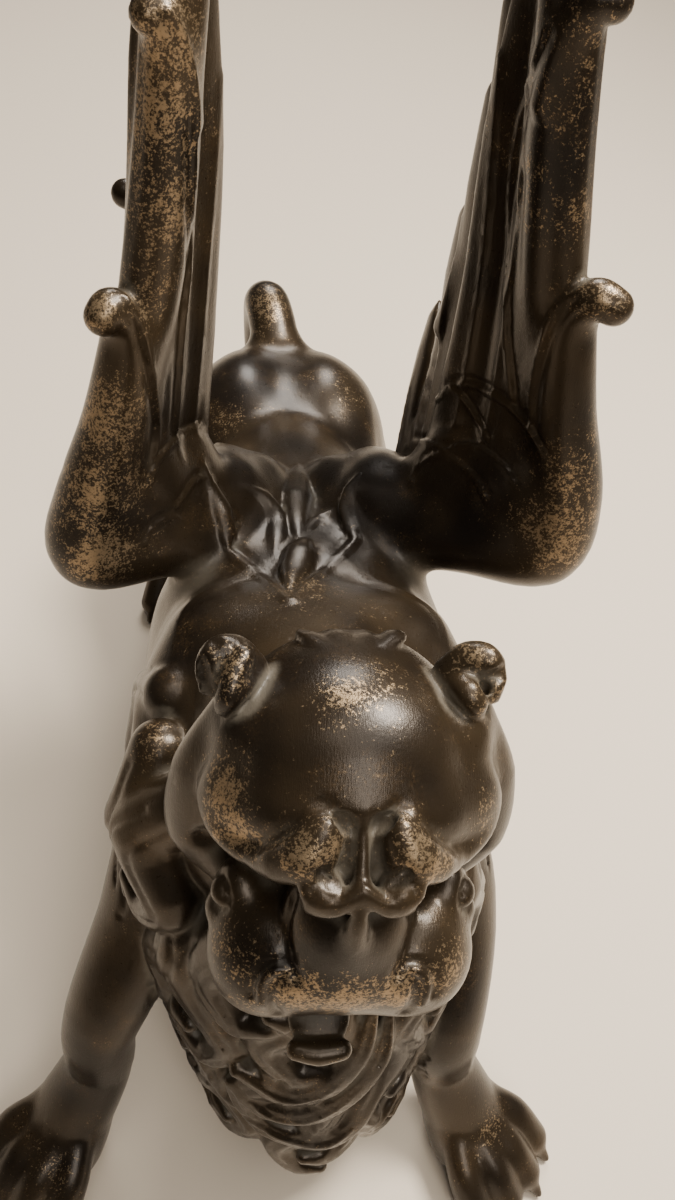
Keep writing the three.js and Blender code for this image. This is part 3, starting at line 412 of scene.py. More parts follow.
def hind_leg(clay, side):
    x, y = HIND_STANCE / 2, RUMP_Y - HIND_REACH
    thigh = mirror(side, (16, RUMP_Y - 16, RUMP_HEIGHT - 28))
    clay.add(ball(thigh, (12, HAUNCH_RADIUS - 3, HAUNCH_RADIUS + 1), (-14, 0, 0)), 8)
    bones = mirrored(side, (17, RUMP_Y - 14, RUMP_HEIGHT - 30), (20, RUMP_Y - 25, RUMP_HEIGHT - 43),
                     (21, RUMP_Y - 10, 42), (22, y + 17, 33), (x - 2, y + 12, 17), (x, y + 3, 7.5))
    girth = [13, SHANK_RADIUS + 2.2, SHANK_RADIUS, SHANK_RADIUS - 1.2, SHANK_RADIUS - 1,
             SHANK_RADIUS + 0.3]
    clay.add(strand(bones, girth), 4)
    paw(clay, side, (x, y, 7.5), HIND_TURN)


def legs(clay):
    for side in SIDES:
        fore_leg(clay, side)
        hind_leg(clay, side)


def tail(clay):
    y, z = RUMP_Y, RUMP_HEIGHT
    bones = [(0, y + 6, z - 18), (-2, y + 14, z - 6), (-4, y + 22.5, z - 2), (-5, y + 31.5, z - 12),
             (-4, y + 35, z - 34), (-1, y + 33, z - 53)]
    clay.add(strand(bones, [TAIL_RADIUS + more for more in (3, 0.6, 0.2, -0.8, -1.6, -2)]), 5)
    for swing in (-1, 0, 1):
        tuft = [(-1, y + 33, z - 48), (-1 + swing * 5, y + 34 + swing, z - 60),
                (1 + swing * 3, y + 31, z - 72), (3 + swing * 6, y + 33, z - 79)]
        clay.add(strand(tuft, [3, 5, 4, 1.2]), 1.2)


# Rows of locks: how far below the withers they start, how long they are, how far around the neck
# they go in degrees, how many there are and half their width
MANE_ROWS = (
    (0, 30, 112, 9, 7.6),
    (20, 30, 100, 10, 7.4),
    (41, 28, 84, 9, 6.8),
    (58, 22, 48, 6, 6),
)

# The long locks that sweep across the chest, with their half widths
CHEST_SWEEPS = (
    (
        ((-13, -104, 60), (-4, -107, 57), (3, -107, 62), (8, -104.4, 71), (9.4, -101, 79)),
        (1.6, 2.9, 3, 2.4, 1.2),
    ),
    (
        ((-14, -103.6, 52), (-7, -107, 47.6), (0, -108.8, 51), (7, -107.4, 57.6), (12, -104, 66),
         (13, -100, 74)),
        (1.4, 2.8, 3.2, 3, 2.4, 1.2),
    ),
    (
        ((-13, -104, 41), (-4, -109.4, 41.6), (4, -110.6, 39), (9.4, -108.8, 42.4), (13, -105, 51),
         (15, -101, 60)),
        (1.6, 3, 3.2, 2.9, 2.4, 1.2),
    ),
)


def bib(angle, below, lift):
    """A place over the bib: degrees around it, millimetres below the withers and off its surface."""
    t = min(1, max(0, 1 - below / BIB_DROP))
    swell = math.sin(min(1, t * 1.6) * math.pi * 0.5)
    wide = BIB_WIDTH * lerp(0.8, 1, swell) + lift
    deep = BIB_DEPTH * lerp(1, 0.6, t) + lift
    a = math.radians(angle)
    x = wide * math.sin(a) + 4 * (1 - t) - 1.5
    return (x, CHEST_Y - 4 - deep * math.cos(a), WITHERS_HEIGHT - below)


def part_lock(clay, spots, angle, width):
    """Two grooves along a lock, closing towards its tip."""
    a = math.radians(angle)
    toward = np.array([-math.sin(a), math.cos(a), -0.15])
    across = np.array([math.cos(a), math.sin(a), 0])
    for shift in (-0.34, 0.34):
        steps = zip(spots[:4], (1, 1, 0.75, 0.3))
        clay.drawn([np.array(p) + across * shift * width * k for p, k in steps], toward, 0.6, 0.55)


def mane(clay):
    for below in (10, 26, 41, 55, 66):
        front, flank = bib(0, below, -6), bib(90, below, -5)
        back = CHEST_Y - 8
        middle = (front[0], (front[1] + back) / 2, front[2])
        clay.add(ball(middle, (flank[0] - front[0], (back - front[1]) / 2 + 3, 13)), 6)
    locks = []
    for row, (below, drop, around, count, width) in enumerate(MANE_ROWS):
        for i in range(count):
            angle = lerp(-around, around, i / (count - 1))
            swing = (1 if (i + row) % 2 else -1) * 11
            long = drop * (1 + 0.16 * math.sin(i * 2.4 + row * 1.3))
            spots = [bib(angle, below, -3), bib(angle + swing * 0.9, below + long * 0.35, 0.6),
                     bib(angle - swing * 0.4, below + long * 0.74, 2.2),
                     bib(angle + swing * 0.4, below + long, 4.4),
                     bib(angle + swing * 1.2, below + long * 0.93, 6)]
            radii = [width * 0.7, width, width * 0.7, width * 0.46, width * 0.24]
            clay.add(strand(spots, radii, fine=4), 0.9)
            locks.append((spots, angle, width))
    for lock in locks:
        part_lock(clay, *lock)
    for sweep, wide in CHEST_SWEEPS:
        clay.add(strand(sweep, wide), 1)
    for sweep, wide in CHEST_SWEEPS:
        for lift in (-0.45, 0.45):
            strip = [(x, y, z + lift * r) for (x, y, z), r in zip(sweep, wide)]
            clay.drawn(strip, (0, 1, -0.3), 0.5, 0.6)


# The head's own frame turns about the neck
HEAD_AXES = turned((0, 0, HEAD_YAW)) @ turned((0, -HEAD_ROLL, 0))
HEAD_MIDDLE = np.array([0, CHEST_Y - HEAD_FORWARD, WITHERS_HEIGHT + HEAD_RISE])
NECK_PIVOT = np.array([0, -20, 8])


def at(x, y, z):
    """A place given in the head's own frame."""
    return HEAD_MIDDLE + NECK_PIVOT + HEAD_AXES @ (np.array([x, y, z]) - NECK_PIVOT)


def beside(side, out=0, back=0, up=0, across=0):
    """Gives the places of one side of the head, mirrored, all moved by the same small steps."""

    def place(x, y, z):
        return at(side * (x + out) + across, y + back, z + up)

    return place


def skull_and_brows(clay):
    clay.add(ball(at(-0.8, 1.5, 3.5), (17, 16, 16.5)), 4)
    clay.add(ball(at(-0.6, -3.2, 9), (14.6, 11.4, 11.2)), 5)
    clay.add(ball(at(0, 6, -8), (18, 16, 22)), 6)
    clay.add(ball(at(0, -7, -16), (13.4, 12, 16)), 4)
    band = [at(-14, -5, 3.4), at(-8, -10.2, 8), at(0, -11, 10.4), at(8, -10.2, 8), at(14, -5, 3.4)]
    clay.add(strand(band, [6.2, 6, 5, 6, 6.2]), 2.4)
    for side in SIDES:
        h = beside(side)
        # outer lobe with its rim, inner lobe, and the temple above them
        clay.add(ball(h(13.2, -4.8, 2.8), (7.2, 8.4, 8), (0, -16 * side, 0)), 2)
        rim = [h(18.6, -5.6, 3), h(17.2, -10, 2.4), h(14.2, -13.4, 3), h(11.8, -15.4, 4.6)]
        clay.add(strand(rim, [2, 2, 2, 1.8]), 1.2)
        lobe = [h(12.2, -15.8, 4.6), h(9.4, -16.6, 6.6), h(6.6, -16.9, 8.8), h(5, -15.3, 12)]
        clay.add(strand(lobe, [1.7, 3.2, 3.9, 2.9]), 0.8)
        clay.add(ball(h(13.6, 0.4, 9), (5.6, 6, 6.4)), 2.4)
        # leaf of the ruff behind
        ruff = [h(16, 3, 12), h(20, 0.5, -1), h(20.8, -1.5, -13), h(16.5, -5, -21)]
        clay.add(strand(ruff, [3, 5, 5.4, 3], face=mirror(side, (0.5, -0.85, 0)), thin=0.85), 1.6)
        # hollow under the brow
        hollow = [h(3, -21, 1.6), h(9.6, -18.4, -0.8), h(14.6, -13.6, -3.8), h(20, -7.5, -9)]
        clay.cut(strand(hollow, [1.6, 3, 3.2, 3]), 0.7)
    # notches between the inner lobes, and the root of the nose
    clay.cut(strand([at(-3, -15, 13.8), at(0, -15.8, 12.8), at(3.2, -15, 13.8)], [1, 1.9, 1]), 0.4)
    clay.cut(strand([at(0.1, -17, 13), at(0.2, -18.4, 11.4), at(0.2, -20.2, 9)], [1.6, 2.3, 2.6]), 0.6)
    clay.add(ball(at(0.2, -13.4, 2.8), (6, 6.6, 8.2)), 1)


def cheeks_and_muzzle(clay):
    for side in SIDES:
        h = beside(side)
        clay.add(ball(h(9.8, -17.2, -19.4), (8.6, 9, 12.4), (6, 0, -6 * side)), 1.6)
        clay.add(ball(h(14.4, -12.4, -13), (4.2, 5, 7)), 2)
        # the eye in its corner, and the bag under it
        clay.cut(ball(h(18.2, -14.4, -9.4), (2.6, 3.2, 2.8)), 0.8)
        clay.add(ball(h(16.8, -13.4, -9.8), (2, 2.4, 1.9)), 0.3)
        clay.add(ball(h(17.6, -13.8, -14), (1.9, 2.4, 2.2)), 0.7)
    clay.add(ball(at(0, -17.8, -8.6), (9.2, 8.8, 10.8)), 0.8)
    clay.add(strand([at(-10.2, -18.8, -18), at(0, -19.4, -17.4), at(10.2, -18.8, -18)], [8, 8.4, 8]), 4)
    clay.add(strand([at(-6.4, -21.8, -13.4), at(0, -22.6, -13), at(6.4, -21.8, -13.4)], [4.6] * 3), 4)


def ears(clay):
    for side, out in ((-1, 1.9), (1, 0.2)):
        h = beside(side, out, back=1.6, up=0.8)
        rim = [h(12.6, 4, 15.6), h(14.6, 4.6, 18.4), h(16.6, 4, 19.2), h(17.8, 2.6, 18), h(17.6, 1, 15.4)]
        clay.add(strand(rim, [2.6, 2.3, 2, 1.8, 1.5]), 1)
        curl = [h(13.2, 2, 15.6), h(14, 0.2, 16.8), h(15, -0.8, 16), h(15.4, -1, 14.4)]
        clay.add(strand(curl, [2.2, 2.1, 1.9, 1.4]), 0.8)
        clay.add(ball(h(15.6, 2.6, 15.2), (2.8, 1.8, 3.4)), 0.6)
        if side > 0:
            shell = [h(16.6, -0.2, 18.6), h(16.4, 1, 16.4), h(16.8, 0.4, 13.8)]
            clay.cut(strand(shell, [0.8, 0.9, 0.8]), 0.5)
            slit = [h(16.4, 1.2, 18.4), h(18.2, 1.4, 19), h(20.4, 1.8, 19.6)]
            clay.cut(strand(slit, [0.7, 1.1, 1.7]), 0.5)
        else:
            shell = [h(18.8, 2, 19.6), h(18.5, 0.6, 18), h(17.7, -0.4, 15.4)]
            clay.cut(strand(shell, [0.8, 1.3, 1.2]), 0.4)
            clay.cut(ball(h(17, 3.9, 21.2), 0.8), 0.4)
            fold = [h(13.4, 3, 19.6), h(14.4, 0.8, 18.6), h(15, -1.2, 16.8), h(15.6, -1.6, 14.6)]
            clay.add(strand(fold, [1.6, 1.8, 1.7, 1.3]), 0.6)


def nose(clay):
    bridge = [at(0, -13, 13.6), at(0.1, -15, 12), at(0.2, -17.2, 10), at(0.2, -19.6, 8),
              at(0.2, -21.2, 6.8)]
    clay.add(strand(bridge, [2, 0.95, 0.9, 1, 1.7]), 0.7)
    for side in SIDES:
        h = beside(side, across=0.3)
        # wing of the nose, the fold under it, the nostril, and the ridge that parts over them
        clay.add(ball(h(4.8, -20.4, 5.2), (2.9, 3, 3.4)), 0.4)
        fold = [h(1.4, -21.8, 6.6), h(3.4, -22.6, 5.2), h(6.2, -21.8, 4.6)]
        clay.add(strand(fold, [1.3, 1.2, 1.2]), 0.6)
        nostril = [h(5.2, -20, 9.6), h(3.9, -20.9, 9), h(2.7, -21.2, 8.6)]
        clay.cut(strand(nostril, [1.1, 1.3, 0.9]), 0.4)
        ridge = [h(6.3, -18.8, 9.8), h(7.1, -20.2, 8.2), h(6.7, -21.6, 6.4), h(4.8, -22.5, 6),
                 h(2.3, -22.5, 6.9), h(0.2, -21.6, 8.2)]
        clay.add(strand(ridge, [0.7, 0.9, 1, 0.9, 0.75, 0.8]), 0.4)
    clay.cut(ball(at(0.2, -23.9, 6.2), (1.25, 1.4, 1.7)), 0.3)
    lip_ridge = [at(0.2, -22.2, 6.4), at(0.1, -23.4, 4), at(0.1, -23.6, 0), at(0.1, -22.8, -5)]
    clay.add(strand(lip_ridge, [0.8, 1.1, 1.8, 3]), 1.2)


def folds_of_the_face(clay):
    under = (0.1, 0.4, -0.9)
    for side in SIDES:
        h = beside(side)
        # groove over the inner lobe, and the fold that runs down beside the nose
        lobe = [h(12.6, -14.8, 6), h(9.8, -14.6, 9.4), h(6.8, -14, 12), h(4.6, -13.2, 14)]
        clay.drawn(lobe, (0.1, 0.5, -0.86), 1, 0.6)
        nose_fold = [h(7.8, -18.4, -1.4), h(8.5, -20.4, -5), h(8.2, -22.6, -8.6), h(6.7, -25, -11.4)]
        clay.drawn(nose_fold, under, 0.75, 1.3)
        # the crescent folds at the corners of the mouth
        outer = [h(8.2, -23.6, -9.6), h(10.4, -23.6, -10.4), h(12.2, -24.4, -13), h(12.6, -25.6, -16.4)]
        clay.drawn(outer, under, 0.55, 1.2)
        raised = [h(9.2, -24, -11.4), h(10.9, -24.2, -12.8), h(11.4, -25.2, -15.4), h(11, -26, -18.4)]
        clay.drawn(raised, under, 0.75, -0.7)
        inner = [h(8.8, -24.6, -12.4), h(9.9, -25, -14.6), h(9.9, -26, -17.4), h(8.9, -27, -20)]
        clay.drawn(inner, under, 0.6, 1.5)


def mouth(clay):
    # underside of the upper lip, chin, tongue and lower lip
    clay.cut(ball(at(0, -19, -30.4), (9.5, 9, 5.2)), 1.2)
    clay.add(ball(at(0, -8, -35), (12, 10, 6)), 3)
    tongue = [at(-2.2, -12, -26), at(-2.3, -20, -26.8), at(-2.4, -24.6, -28.2), at(-2.5, -26.6, -28.8)]
    clay.add(strand(tongue, [TONGUE_WIDTH / 2] * 3 + [3.6], face=(0, -0.2, 1), thin=0.28), 0.6)
    lip = [at(-5.8, -29.4, -28.4), at(-2.5, -29.8, -28.6), at(0.9, -29.4, -28.4)]
    clay.add(strand(lip, [1.5, 1.8, 1.5]), 0.8)


def crown(clay):
    """Four low locks on top of the head."""
    for across, ahead, size in ((-6, 0.4, 0.9), (-2.4, 0, 1), (1.6, 0.3, 0.9), (5.4, -0.2, 1.1)):
        lock = [at(across * 0.7, 9 - ahead, 17.6), at(across, 11.6 - ahead, 16.2),
                at(across * 1.2, 14.6, 13)]
        clay.add(strand(lock, [0.8 * size, 1.7 * size, 1], face=(0, 0.5, 0.85), thin=0.5), 0.8)


# Flight feathers from front to back: foot, bend and tip, half width, and the way that they face
FEATHERS = (
    ((36.5, -16.5, 12), (32, -11.5, 58), (26.6, -4, 116), 5.5, 42),
    ((32, -9.5, 8), (29.5, -5.5, 56), (25.6, 2, 104), 6, 40),
    ((29.5, -4, 4), (28, 2.5, 50), (26, 9, 90), 6.2, 32),
    ((27.5, 1, 1), (27.4, 10.5, 38), (27, 17, 70), 6.2, 20),
    ((25.6, 4, -3), (26.8, 16, 22), (28, 25, 43), 6.2, 8),
    ((23.6, 8, -8), (25.6, 21, 4), (27.4, 32, 16), 5.8, 0),
)

# Fine ridges on the front of each wing, in its own grid. Their points were picked by hand in the
# photo and set onto the wing's surface by a scratch script. These are the inner edges of the first
# and second leaf.
LEAF_EDGES = {
    1: (
        ((33.2, -24.4, 33.1), (32.2, -23.3, 37.6), (31.3, -22.8, 43.6), (31, -23, 51.3),
         (31.9, -23, 57.1), (34.3, -23.7, 60.4)),
        ((30.3, -18.9, 35.3), (28.1, -15.3, 43.1), (26.6, -12.1, 50.8), (25.8, -8.7, 60.3),
         (24.6, -7.1, 68), (24.2, -6.1, 77.3), (23.5, -8.8, 83.7), (22.9, -13.2, 92.2)),
    ),
    -1: (
        ((35.5, -23, 61.4), (33.3, -24.1, 57.9), (32.1, -24.3, 52.4), (31.4, -23.1, 44.4),
         (31.2, -21, 33.2), (32, -23, 27.7)),
        ((27.3, -18.1, 99.3), (25.5, -17.3, 97.3), (24.5, -16.6, 94.2), (23.7, -15.9, 89.2),
         (24, -15.6, 82.4), (25, -15.1, 71.9), (25.7, -12.1, 60.7), (26.8, -13.3, 49.9),
         (27.7, -14.7, 38.1), (28.3, -16, 29)),
    ),
}
# The scales over the feathers' feet, found in the same way
SCALES = {
    1: (
        ((21.2, -2.7, 22.8), (22.8, -4.9, 27.3), (25.2, -8.7, 30.9), (27.8, -14.4, 33.1),
         (30.5, -19.7, 34), (32.8, -23.5, 33.1), (35.4, -28.2, 30.9)),
        ((23.3, -5.7, 27.5), (25.2, -9.6, 27.4), (27.3, -13, 25.7), (28.3, -18, 25.5)),
        ((19.6, 3.2, 8.4), (21, -6.1, 15.3), (22.6, -12.3, 18.6)),
        ((22.7, -12.5, 18.5), (24.2, -13.3, 20.7), (26.6, -15.1, 22.2), (28.9, -20.1, 24),
         (31.2, -23.8, 24), (32.9, -26.5, 22.5)),
        ((18.3, -11.8, 10.2), (19.6, -9.3, 12.1), (20.8, -10.7, 15.8), (22.5, -12.8, 17.8),
         (25.1, -17.2, 18.9), (27.4, -21.8, 19.2), (29.1, -24.9, 17.6)),
    ),
    -1: (
        ((33.1, -25.9, 24.7), (31.5, -22.7, 27.3), (28.5, -16.3, 27), (24.5, -7.1, 22.7)),
        ((33.1, -30.1, 13.2), (32.4, -28.4, 15.6), (29.1, -25.3, 15.5), (26.7, -23.8, 13.1)),
        ((28.1, -23.3, 16.5), (25.1, -16.7, 16.7), (23.6, -14.6, 15.5)),
    ),
}
# The way in which they are pressed onto each wing
INWARD = {1: (0.38, 0.68, -0.62), -1: (-0.15, 0.78, -0.61)}


def wing_grid(side):
    """Gives the places of one wing's grid, which leans out and stands higher on one side."""

    def place(x, y, z):
        lean = side * x + WING_LEAN * smoothstep(z, -10, 22)
        lift = side * WING_LIFT * smoothstep(z, -18, 42)
        return (lean - WING_TIP_LEAN * smoothstep(z, 62, 100), y,
                WITHERS_HEIGHT + z * WING_RISE / WING_GRID_RISE + lift)

    return place


def facing(side, degrees):
    """The way that a blade of the wing faces, turned by degrees from straight out."""
    a = math.radians(degrees)
    return np.array((side * math.cos(a), math.sin(a), 0))


def wing(clay, side):
    w = wing_grid(side)
    front = facing(side, 42)
    leaf_front = facing(side, 44)
    clay.add(ball(w(15, -6, -6), (10, 20, 13), (0, 24 * side, 0)), 8)
    clay.add(strand([w(18, -6, -3), w(28, -13, 5)], [11, 9]), 6)
    # broad foot of the wing under the scales, and the plate that carries the feathers
    clay.add(ball(w(30.4, -14.2, 9), (6.4, 15, 14.5), (0, 0, 42 * side)), 4)
    plate = [w(31, -12, 8), w(29.6, -9.6, 42), w(26.6, -6, 74), w(25, -5, 100)]
    clay.add(strand(plate, [13, 11.5, 9, 6], face=front, thin=0.2), 2)
    for foot, bend, tip, half, turn in FEATHERS:
        shaft = [lerp(p, q, 0.55) for p, q in zip(bend, tip)]
        point = (tip[0] + 0.6, tip[1] + 3.4, tip[2] + 3.6)
        feather = [w(*foot), w(*bend), w(*shaft), w(*tip), w(*point)]
        radii = [half, half, half, half * 0.78, half * 0.22]
        clay.add(strand(feather, radii, face=facing(side, turn), thin=FEATHER_THICKNESS), 0.7)
    # the smooth front that joins the leaves to the feathers
    web = [w(36.4, -19.4, 12), w(35, -17.8, 30), w(33, -15.8, 46), w(31, -14.2, 62),
           w(28.6, -12.4, 80), w(26.6, -10.8, 100), w(26, -10, 116)]
    clay.add(strand(web, [10, 8.8, 7.7, 6.9, 6, 5.2, 3.7], face=front, thin=0.5), 2.4)
    # second leaf of the front edge with its curled tip, and the third
    second = [w(39, -20.6, 28), w(33, -18.4, 52), w(28.8, -15.8, 74), w(26.8, -14.2, 94)]
    clay.add(strand(second, [6, 5.6, 5, 4], face=leaf_front, thin=0.66), 1)
    curl = [w(26, -14, 84), w(26.8, -14.6, 92), w(28.4, -15.8, 98), w(30 + 0.6 * side, -16, 98)]
    clay.add(strand(curl, [3, 3.2, 2.9, 2.7]), 1)
    third = [w(28, -13.6, 76), w(25.6, -12.2, 98), w(24, -10, 116), w(24.5, -11, 124),
             w(28, -13, 127.4)]
    clay.add(strand(third, [4.4, 4.4, 3.8, 3.1, 2.6], face=leaf_front, thin=0.7), 1)
    # first leaf from the wrist, its tip curled outwards
    first = [w(19, -15, 0), w(31, -23, 6), w(42.3, -27, 9.5), w(42.8, -26, 20), w(38.4, -24, 37),
             w(35.8, -22, 52)]
    clay.add(strand(first, [5.6, 7, 8.5, 7, 5, 3.4]), 5)
    clay.add(ball(w(35.4, -20.4, 13.5), (7.4, 10, 13), (0, 0, 42 * side)), 5)
    curl = [w(34.6, -19.8, 38), w(34.8, -20.4, 48), w(35.6, -21.6, 55), w(37.6, -23.6, 59),
            w(39.4 + 0.8 * side, -24.6, 58.4)]
    clay.add(strand(curl, [3.6, 4, 3.8, 3.3, 3]), 1.2)
    # a short curl that stands out between the fourth and fifth feathers
    curl = [w(26, 14, 28), w(29, 15, 46), w(33.6, 16, 55), w(38, 16.5, 56.4)]
    clay.add(strand(curl, [3.8, 3.6, 2.9, 2.6]), 1)


def midway(p, q):
    return [(a + b) / 2 for a, b in zip(p, q)]


def wing_lines(clay, side):
    """Grooves between the feathers, outside and inside, and the ridges on the wing's front."""
    w = wing_grid(side)
    for (f0, b0, t0, _, a0), (f1, b1, t1, _, a1) in zip(FEATHERS, FEATHERS[1:]):
        foot, bend, tip = midway(f0, f1), midway(b0, b1), midway(t0, t1)
        low = [lerp(p, q, 0.25) for p, q in zip(foot, bend)]
        high = [lerp(p, q, 0.72) for p, q in zip(bend, tip)]
        gap = [w(*low), w(*bend), w(*high)]
        out = facing(side, (a0 + a1) / 2)
        clay.drawn(gap, out, 0.8, -0.5)
        clay.drawn(gap, -out, 0.8, 0.7)
    for edge in LEAF_EDGES[side]:
        clay.drawn([w(*p) for p in edge], INWARD[side], 0.5, -0.6)
        clay.drawn([w(x + 1, y - 0.8, z) for x, y, z in edge], INWARD[side], 0.8, 0.4)
    for edge in SCALES[side]:
        clay.drawn([w(*p) for p in edge], INWARD[side], 0.48, -0.6)
        clay.drawn([w(x, y, z + 1.1) for x, y, z in edge], INWARD[side], 0.6, 0.45)


def wings(clay):
    for side in SIDES:
        wing(clay, side)
    for side in SIDES:
        wing_lines(clay, side)


# The palmette on the back, seen from above: the leaves' spines, half their widths and their
# thickness, the collar's edge, and the two swellings that carry them
BACK_LEAVES = (
    (((-1.8, -22), (-1.8, -15), (-1.4, -6), (-0.6, 3), (0.3, 11)), (0.4, 2.4, 3.9, 2.8, 0.4), 0.66),
    (((-0.7, -22.4), (-1.9, -26), (-3, -30.4), (-4, -35), (-4.9, -39.6)), (1.2, 3, 3.2, 1.9, 0.3), 0.6),
    (((-6.9, -27), (-6, -20), (-6, -14), (-8.6, -9.6), (-12.6, -9.4)), (0.4, 1.9, 2.2, 1.7, 0.4), 0.5),
    (((-1, -20), (0.4, -17), (2, -14.2), (3.8, -12.2), (5.8, -11)), (0.4, 1.1, 1.3, 1, 0.3), 0.5),
    (((-15.6, -24), (-16.2, -20.6), (-17.2, -17), (-18.8, -14.4), (-20.6, -12.3)),
     (0.5, 2, 2.3, 1.6, 0.4), 0.45),
    (((9.4, -21.5), (9, -17), (8.4, -12.4), (9.4, -8), (11.4, -5)), (0.4, 1.7, 1.9, 1.5, 0.4), 0.45),
)
COLLAR = ((-14.4, -25), (-9.9, -32), (-6.9, -38), (-4.9, -43), (-2.6, -38.6), (0.4, -33.6), (5.1, -27),
          (9.4, -20.6))
BACK_SWELLINGS = ((-8.6, 1, 104.4), (7.4, 2, 103.6))
SWELLING_RADII = (5.4, 9, 5)
ABOVE_BACK = 118


def palmette(clay):
    for middle in BACK_SWELLINGS:
        clay.add(ball(middle, SWELLING_RADII), 4)
    clay.drawn([(x, y, ABOVE_BACK) for x, y in COLLAR], DOWN, 0.95, -1)
    clay.drawn([(x, y + 2.2, ABOVE_BACK) for x, y in COLLAR], DOWN, 0.9, 0.5)
    spines = [clay.laid([(x, y, ABOVE_BACK) for x, y in leaf[0]], DOWN, 1, 10) for leaf in BACK_LEAVES]
    for spine, (_, half, thick) in zip(spines, BACK_LEAVES):
        clay.add(strand(spine, half, face=(0, 0.1, 1), thin=thick, fine=8), 0.4)


def sculpt(cell):
    clay = Clay(CLAY_LOW, CLAY_HIGH, cell)
    for step in (trunk, legs, tail, mane, skull_and_brows, cheeks_and_muzzle, ears, nose,
                 folds_of_the_face, mouth, crown, wings, palmette):
        step(clay)
    return clay


class Value:
    """A number that varies over the surface: the output of a node, with Python's own arithmetic."""

    def __init__(self, finish, socket):
        self.finish, self.socket = finish, socket

    def math(self, operation, *numbers):
        return self.finish.node("ShaderNodeMath", {"operation": operation}, dict(enumerate(numbers)))

    def __add__(self, other):
        return self.math("ADD", self, other)

    def __sub__(self, other):
        return self.math("SUBTRACT", self, other)

    def __rsub__(self, other):
        return self.math("SUBTRACT", other, self)

    def __mul__(self, other):
        return self.math("MULTIPLY", self, other)

    __radd__, __rmul__ = __add__, __mul__

    def between(self, low, high):
        """0 below low, 1 above high, and smooth in between."""
        sockets = {"Value": self, "From Min": low, "From Max": high}
        return self.finish.node("ShaderNodeMapRange", {"interpolation_type": "SMOOTHSTEP"}, sockets)


class Finish:
    """A material made of nodes."""

    def __init__(self, name):
        self.material = bpy.data.materials.new(name)
        self.material.use_nodes = True
        self.tree = self.material.node_tree
        self.tree.nodes.clear()
        self.place = self.node("ShaderNodeTexCoord", output="Object")

    def node(self, kind, settings=None, sockets=None, output=0):
        """Adds a node with its settings and its sockets' numbers or links, and gives one output."""
        made = self.tree.nodes.new(kind)
        for name, setting in (settings or {}).items():
            setattr(made, name, setting)
        for key, given in (sockets or {}).items():
            if isinstance(given, Value):
                self.tree.links.new(given.socket, made.inputs[key])
            else:
                made.inputs[key].default_value = given
        return Value(self, made.outputs[output]) if made.outputs else made

    def held(self, name):
        """A number that the mesh holds at its vertices."""
        return self.node("ShaderNodeAttribute", {"attribute_name": name}, output="Fac")

    def noise(self, scale, detail=2, roughness=0.5, stretch=(1, 1, 1), distortion=0):
        """Cloudy noise between 0 and 1, with about `scale` blotches in a metre."""
        place = self.node("ShaderNodeMapping", {}, {"Vector": self.place, "Scale": stretch})
        sockets = {"Vector": place, "Scale": scale, "Detail": detail, "Roughness": roughness,
                   "Distortion": distortion}
        return self.node("ShaderNodeTexNoise", {}, sockets)

    def painted(self, under, over, mask):
        """One colour over another where the mask is 1."""
        settings = {"data_type": "RGBA"}
        return self.node("ShaderNodeMix", settings, {0: mask, 6: under, 7: over}, output=2)

    def surface(self, sockets):
        """Closes the material with a shader that has these sockets."""
        shader = self.node("ShaderNodeBsdfPrincipled", {}, sockets)
        self.node("ShaderNodeOutputMaterial", {}, {"Surface": shader})
        return self.material


DARK_PATINA = (0.012, 0.0085, 0.006, 1)
BROWN_PATINA = (0.045, 0.030, 0.016, 1)
WARM_PATINA = (0.075, 0.045, 0.02, 1)
WORN_BRONZE = (0.29, 0.205, 0.12, 1)
DUST = (0.13, 0.112, 0.085, 1)
PAPER_TONES = ((0.68, 0.575, 0.455, 1), (0.71, 0.605, 0.485, 1))

# Where hands have rubbed the casting bright, in the sculpting frame: place, reach and how much
RUBBED = (
    (-1.5, -86, 151, 4.5, 1), (2.5, -84, 151, 5, 0.6), (-17, -92, 138.7, 5, 1.1),
    (-15.5, -96, 136, 5, 0.9), (17.7, -95, 137, 4, 0.7), (-7.5, -102.5, 142, 4, 1.2),
    (-3.6, -102, 142, 3, 1.1), (6.3, -102.7, 143, 3.5, 1.1), (9.6, -103, 140, 3.5, 0.9),
    (-6.2, -111, 118, 5, 1), (-0.3, -111, 118, 5.5, 1), (7, -111, 118, 5, 1),
    (-15.7, -106, 118, 5, 0.8), (15, -108, 118.7, 5, 0.8), (-14, -110, 112.5, 4, 0.7),
    (-16.5, -81, 151, 4, 0.9), (15.3, -79, 151.7, 4, 0.8), (17.5, -84, 147.7, 4, 0.7),
    (-28, -18, 203, 14, 0.8), (-28, -18, 190, 11, 0.9), (-27, -20, 177, 10, 0.8),
    (-30, -21, 168, 8, 0.7), (-36, -26.5, 166, 5, 1), (-37, -27.5, 146, 10, 0.9),
    (-40, -31.6, 132, 10, 1), (-39, -34.7, 120, 9, 1), (28, -17, 205, 14, 0.5),
    (30, -18.6, 183, 12, 0.6), (43.5, -31, 139, 8, 0.8), (44, -33, 127, 9, 1),
    (40, -26.4, 171.6, 5, 0.8), (47, -25, 147, 7, 0.5), (-4, 83.7, 97, 10, 0.8),
    (14, 52, 92, 8, 0.5), (-12, 40, 90, 9, 0.4), (-28, -68, 113, 5, 0.5),
    (43, -107, 17, 6, 0.5), (-50, -110, 16, 6, 0.4), (0, -118, 102, 5, 0.4),
    (-2, -40, 118, 14, 0.35),
)
# How far out from the surface hollows are felt, and how far in from it crests are
FELT = {"recess": (1.2, 3), "crest": (-1.0, -2.6)}


